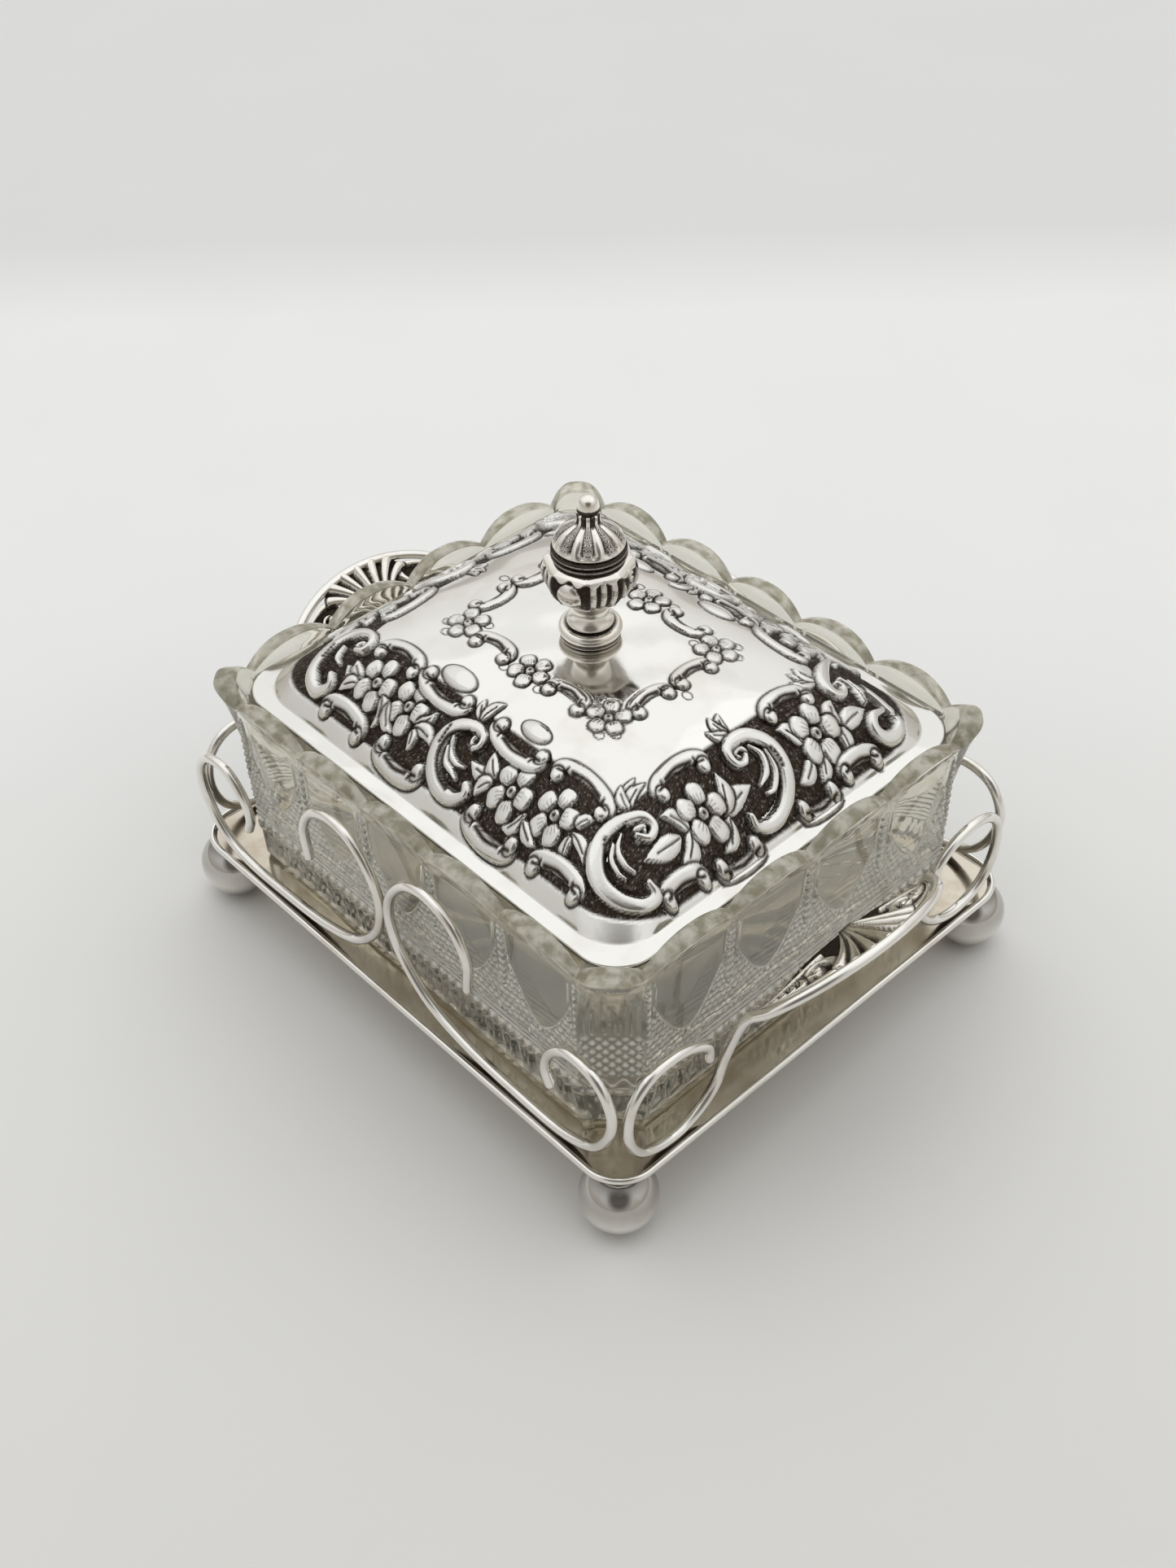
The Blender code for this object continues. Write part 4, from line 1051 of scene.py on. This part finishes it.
def build_finial(mat):
    z = TOP_Z + GAP
    base = [(BORE_R, z), (7.6, z), (7.9, z + 0.25), (7.9, z + 0.65), (7.3, z + 0.85)]
    base += [(6.9 + 1.45 * cos(radians(a)), z + 2.3 + 1.45 * sin(radians(a)))
             for a in np.linspace(-75, 75, 22)]
    base += [(6.4, z + 3.62), (6.1, z + BASE_H), (BORE_R, z + BASE_H)]
    shade = np.zeros(len(base))
    shade[3:6] = 0.85
    shade[-3:] = 0.9
    foot = turned("finial_foot", slimmed(base, "base"), mat, steps=96, dark=shade, closed=True)
    place(foot, "lid", "finial_base")

    z = z + BASE_H + GAP
    line = smooth_path([(6.1, z), (6.2, z + 0.6), (5.4, z + 1.8), (4.8, z + 3.2), (4.8, z + 4.4),
                        (5.4, z + 6.0), (6.0, z + STEM_H)], 0.15)
    stem = [(BORE_R, z)] + [tuple(p) for p in line] + [(BORE_R, z + STEM_H)]
    shade = np.zeros(len(stem))
    shade[:4] = 0.9
    neck = turned("finial_neck", slimmed(stem, "stem"), mat, steps=96, dark=shade, closed=True)
    place(neck, "lid", "finial_stem")

    z = z + STEM_H + GAP
    build_knop(mat, z)

    z = z + KNOP_H + GAP
    ring = smooth_path([(9.8, z), (10.3, z + 0.5), (10.3, z + 1.0), (9.5, z + 1.4), (10.2, z + 1.8),
                        (10.2, z + 2.4), (9.6, z + BAND_H)], 0.08)
    height = ring[:, 1] - z
    lit = np.maximum(np.exp(-((height - 0.8) / 0.16) ** 2), np.exp(-((height - 2.1) / 0.16) ** 2))
    band = turned("finial_band", slimmed(ring, "ring"), mat, steps=96, dark=0.985 - 0.5 * lit)
    place(band, "lid", "finial_ring")

    z = z + BAND_H + GAP
    line = smooth_path([(9.3, z), (9.75, z + 0.5), (9.5, z + 1.3), (8.6, z + 2.7), (7.0, z + 4.1),
                        (5.0, z + 5.2), (3.4, z + 6.0), (3.0, z + 7.1), (3.05, z + CAP_H)], 0.12)
    steps = 192
    a = 2 * pi * np.arange(steps) / steps
    rings, shade = [], []
    for r, zz in slimmed(line, "cap"):
        up = np.clip((zz - z) / CAP_H, 0, 1)
        grow = np.clip((zz - z - 0.7) / 1.0, 0, 1)
        lobe = np.abs(np.cos(CAP_FLUTES * a)) ** 0.6
        wave = 1 - grow * (0.16 - 0.05 * up) * (1 - lobe)
        rings.append(np.stack([r * wave * np.cos(a), r * wave * np.sin(a), np.full(steps, zz)], 1))
        # painted shade: dark in the grooves between the lobes, in streaks on every other lobe, and near the
        # top off the lobe crests
        turn = ((a / (2 * pi) * 2 * CAP_FLUTES + 0.5) % 2) < 1
        seam = np.clip((0.55 - lobe) / 0.35, 0, 1)
        streaked_shade = 0.55 + 0.45 * np.sign(np.sin(64 * a + 9 * np.sin(3.1 * zz)))
        neck = np.clip((zz - z - 5.8) / 0.5, 0, 1) * (np.cos(CAP_FLUTES * a) < 0.3)
        shade.append(grow * np.clip(np.maximum(seam * 1.4, turn * streaked_shade * (zz < z + 6.0)) + neck, 0, 0.98))
    place(skin("finial_gadroon", rings, mat, shade), "lid", "finial_cap")

    z = z + CAP_H + GAP
    ball = [(2.5, z), (2.9, z + 0.25), (2.9, z + 0.8)]
    ball += [(2.85 * cos(radians(t)), z + 1.35 + 2.85 * sin(radians(t))) for t in np.linspace(-8, 88, 28)]
    shade = np.zeros(len(ball))
    shade[:5] = 0.97
    tip = turned("finial_tip", slimmed(ball, "ball"), mat, dark=shade)
    place(tip, "lid", "finial_ball")


def build_knop(mat, z):
    """Eight-sided knop: two palmette faces and two bossed ones, with a ribbed panel between each."""
    steps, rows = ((384, 90))
    line = smooth_path([(5.9, z), (8.4, z + 0.7), (10.8, z + 2.6), (12.2, z + 5.0), (12.7, z + 7.2),
                        (12.5, z + 8.8), (11.7, z + 10.2), (10.6, z + KNOP_H)], 0.08)
    line = line[np.linspace(0, len(line) - 1, rows).astype(int)]
    a = 2 * pi * np.arange(steps) / steps
    face = np.floor((a - KNOP_TURN) / (pi / 4) + 0.5)
    off = a - KNOP_TURN - face * pi / 4
    octagon = cos(pi / 8) / np.cos(off)
    rings, shade = [], []
    kind = face % 4             # 0 palmette, 2 boss, odd numbers a ribbed panel
    for r, zz in slimmed(line, "body"):
        s = off * 12.6
        t = zz - (z + 5.7)
        q = np.hypot(s, t * 0.92) / 3.6
        boss = 1.5 * np.sqrt(np.clip(1 - q ** 2, 0, 1))
        bars = np.clip(np.cos(2 * pi * s / 3.0) * 2.5, -1, 1) * 0.5 + 0.5
        angle = np.arctan2(s, t + 5.4)
        fan = np.clip(np.cos(angle * 11) * 1.8, -1, 1) * 0.5 + 0.5
        leafy = np.clip((1.05 - np.hypot(s / 4.7, (t - 0.6) / 5.0)) * 4, 0, 1)
        eye = np.hypot(s, t - 2.0) / 1.3
        palm = fan * leafy * (eye > 1)
        pupil = 1.0 * (eye < 0.7)
        raised = np.select([kind == 0, kind == 2], [0.7 * palm + 0.5 * pupil, boss], 0.45 * bars)
        bright = np.select([kind == 0, kind == 2], [palm + pupil, 1.0 * (q < 0.96)], 0.85 * bars)
        scallop = 4.2 + 0.5 * np.cos(16 * (a - KNOP_TURN))
        recess = np.clip((scallop - t) / 0.5, 0, 1) * np.clip((t + 4.2) / 0.6, 0, 1)
        rr = (r * octagon - 0.55 * recess) + raised * recess
        rings.append(np.stack([rr * np.cos(a), rr * np.sin(a), np.full(steps, zz)], 1))
        shade.append(recess * (1 - 0.93 * bright))
    place(skin("finial_knop", rings, mat, shade), "lid", "finial_body")


# ---------------------------------------------------------------- studio

def area_light(name, at, aim_z, width, power):
    """Square light that looks at the object's axis."""
    data = bpy.data.lights.new(name, "AREA")
    data.shape = "RECTANGLE"
    data.size = data.size_y = width
    data.energy = power
    ob = bpy.data.objects.new(name, data)
    bpy.context.scene.collection.objects.link(ob)
    ob.location = at
    ob.rotation_euler = (Vector((0, 0, aim_z)) - Vector(at)).to_track_quat("-Z", "Y").to_euler()


def along(tree, source, way):
    """How far a vector reaches in a fixed direction."""
    node = tree.nodes.new("ShaderNodeVectorMath")
    node.operation = "DOT_PRODUCT"
    tree.links.new(source, node.inputs[0])
    node.inputs[1].default_value = way
    return node.outputs["Value"]


def build_studio():
    verts = [(x * FLOOR_HALF, y * FLOOR_HALF, 0) for x, y in ((-1, -1), (1, -1), (1, 1), (-1, 1))]
    mat, tree, bsdf = nodes_of("pale_floor")
    where = add(tree, "ShaderNodeTexCoord").outputs["Object"]
    grain = add(tree, "ShaderNodeTexNoise", Scale=14.0, Detail=5.0)
    tree.links.new(where, grain.inputs["Vector"])
    away = along(tree, where, FLOOR_AWAY)
    # painted shade: the floor is darker on the camera's side of the object and greyer from about 0.4 m
    # behind it
    near = ramp(tree, away, -0.27, 0.14, 0.0, 1.0)
    tone = mix_colour(tree, near, (0.785, 0.775, 0.745), (0.975, 0.98, 0.975))
    far = ramp(tree, away, 0.335, 0.405, 0.0, 1.0)
    tone = mix_colour(tree, far, tone, (0.83, 0.84, 0.835))
    mottle = ramp(tree, grain.outputs["Fac"], 0.35, 0.65, 0.0, 0.05)
    tree.links.new(mix_colour(tree, mottle, tone, (0.70, 0.69, 0.66)), bsdf.inputs["Base Color"])
    bsdf.inputs["Roughness"].default_value = 0.75
    to_object("studio_floor", verts, [[(0, 1, 2, 3)]], mat)
    world = bpy.data.worlds.new("soft_tent")
    bpy.context.scene.world = world
    world.use_nodes = True
    tree = world.node_tree
    back = tree.nodes["Background"]
    where = tree.nodes.new("ShaderNodeTexCoord")
    split = tree.nodes.new("ShaderNodeSeparateXYZ")
    tree.links.new(where.outputs["Generated"], split.inputs[0])
    height = ramp(tree, split.outputs["Z"], 0.0, 0.60, 0.0, 1.0)
    tent = mix_colour(tree, height, (0.56, 0.525, 0.48), (0.90, 0.905, 0.90))
    patch = ramp(tree, along(tree, where.outputs["Generated"], DARK_PATCH), 0.78, 0.93, 0.0, 0.88)
    tree.links.new(mix_colour(tree, patch, tent, (0.10, 0.085, 0.07)), back.inputs["Color"])
    back.inputs["Strength"].default_value = 0.90
    for light in LIGHTS:
        area_light(*light)


def build_camera():
    data = bpy.data.cameras.new("camera")
    data.lens = LENS
    data.sensor_width = SENSOR
    data.sensor_fit = "AUTO"
    data.clip_start = 0.01
    ob = bpy.data.objects.new("camera", data)
    bpy.context.scene.collection.objects.link(ob)
    az, el, roll = radians(CAMERA_AZIMUTH), radians(CAMERA_HEIGHT), radians(CAMERA_ROLL)
    back = Vector((sin(az) * cos(el), -cos(az) * cos(el), sin(el)))
    right = Vector((cos(az), sin(az), 0))
    up = back.cross(right)
    sideways = right * cos(roll) + up * sin(roll)
    upward = up * cos(roll) - right * sin(roll)
    ob.matrix_world = Matrix([*zip(sideways, upward, back, CAMERA_AT), (0, 0, 0, 1)])
    bpy.context.scene.camera = ob


def main():
    silver = silver_material("silver_plate_look", (0.82, 0.81, 0.775), 0.07, stipple=0.5)
    wire = silver_material("drawn_wire_look", (0.86, 0.84, 0.80), 0.05, 0.20, underside_shade=0.85)
    cast = silver_material("cast_silver_look", (0.86, 0.83, 0.77), 0.09, 0.25, stipple=0.4, underside_shade=0.8)
    tray = silver_material("tray_look", (0.66, 0.60, 0.51), 0.07, 0.60)
    inner = silver_material("unpolished_fixing_look", (0.55, 0.52, 0.48), 0.35, 0.4)
    glass = glass_material()
    build_lid(silver, draw_lid())
    build_dish(glass)
    build_stand(wire)
    build_handles(cast, draw_handle())
    build_finial(cast)
    for name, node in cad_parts.items():
        if node.hide_render:
            continue
        look = tray if name == "tray_plate" else inner
        node.data.materials.clear()
        node.data.materials.append(look)
    build_studio()
    build_camera()
    bpy.context.scene.view_settings.view_transform = "Standard"
    bpy.context.view_layer.update()


main()
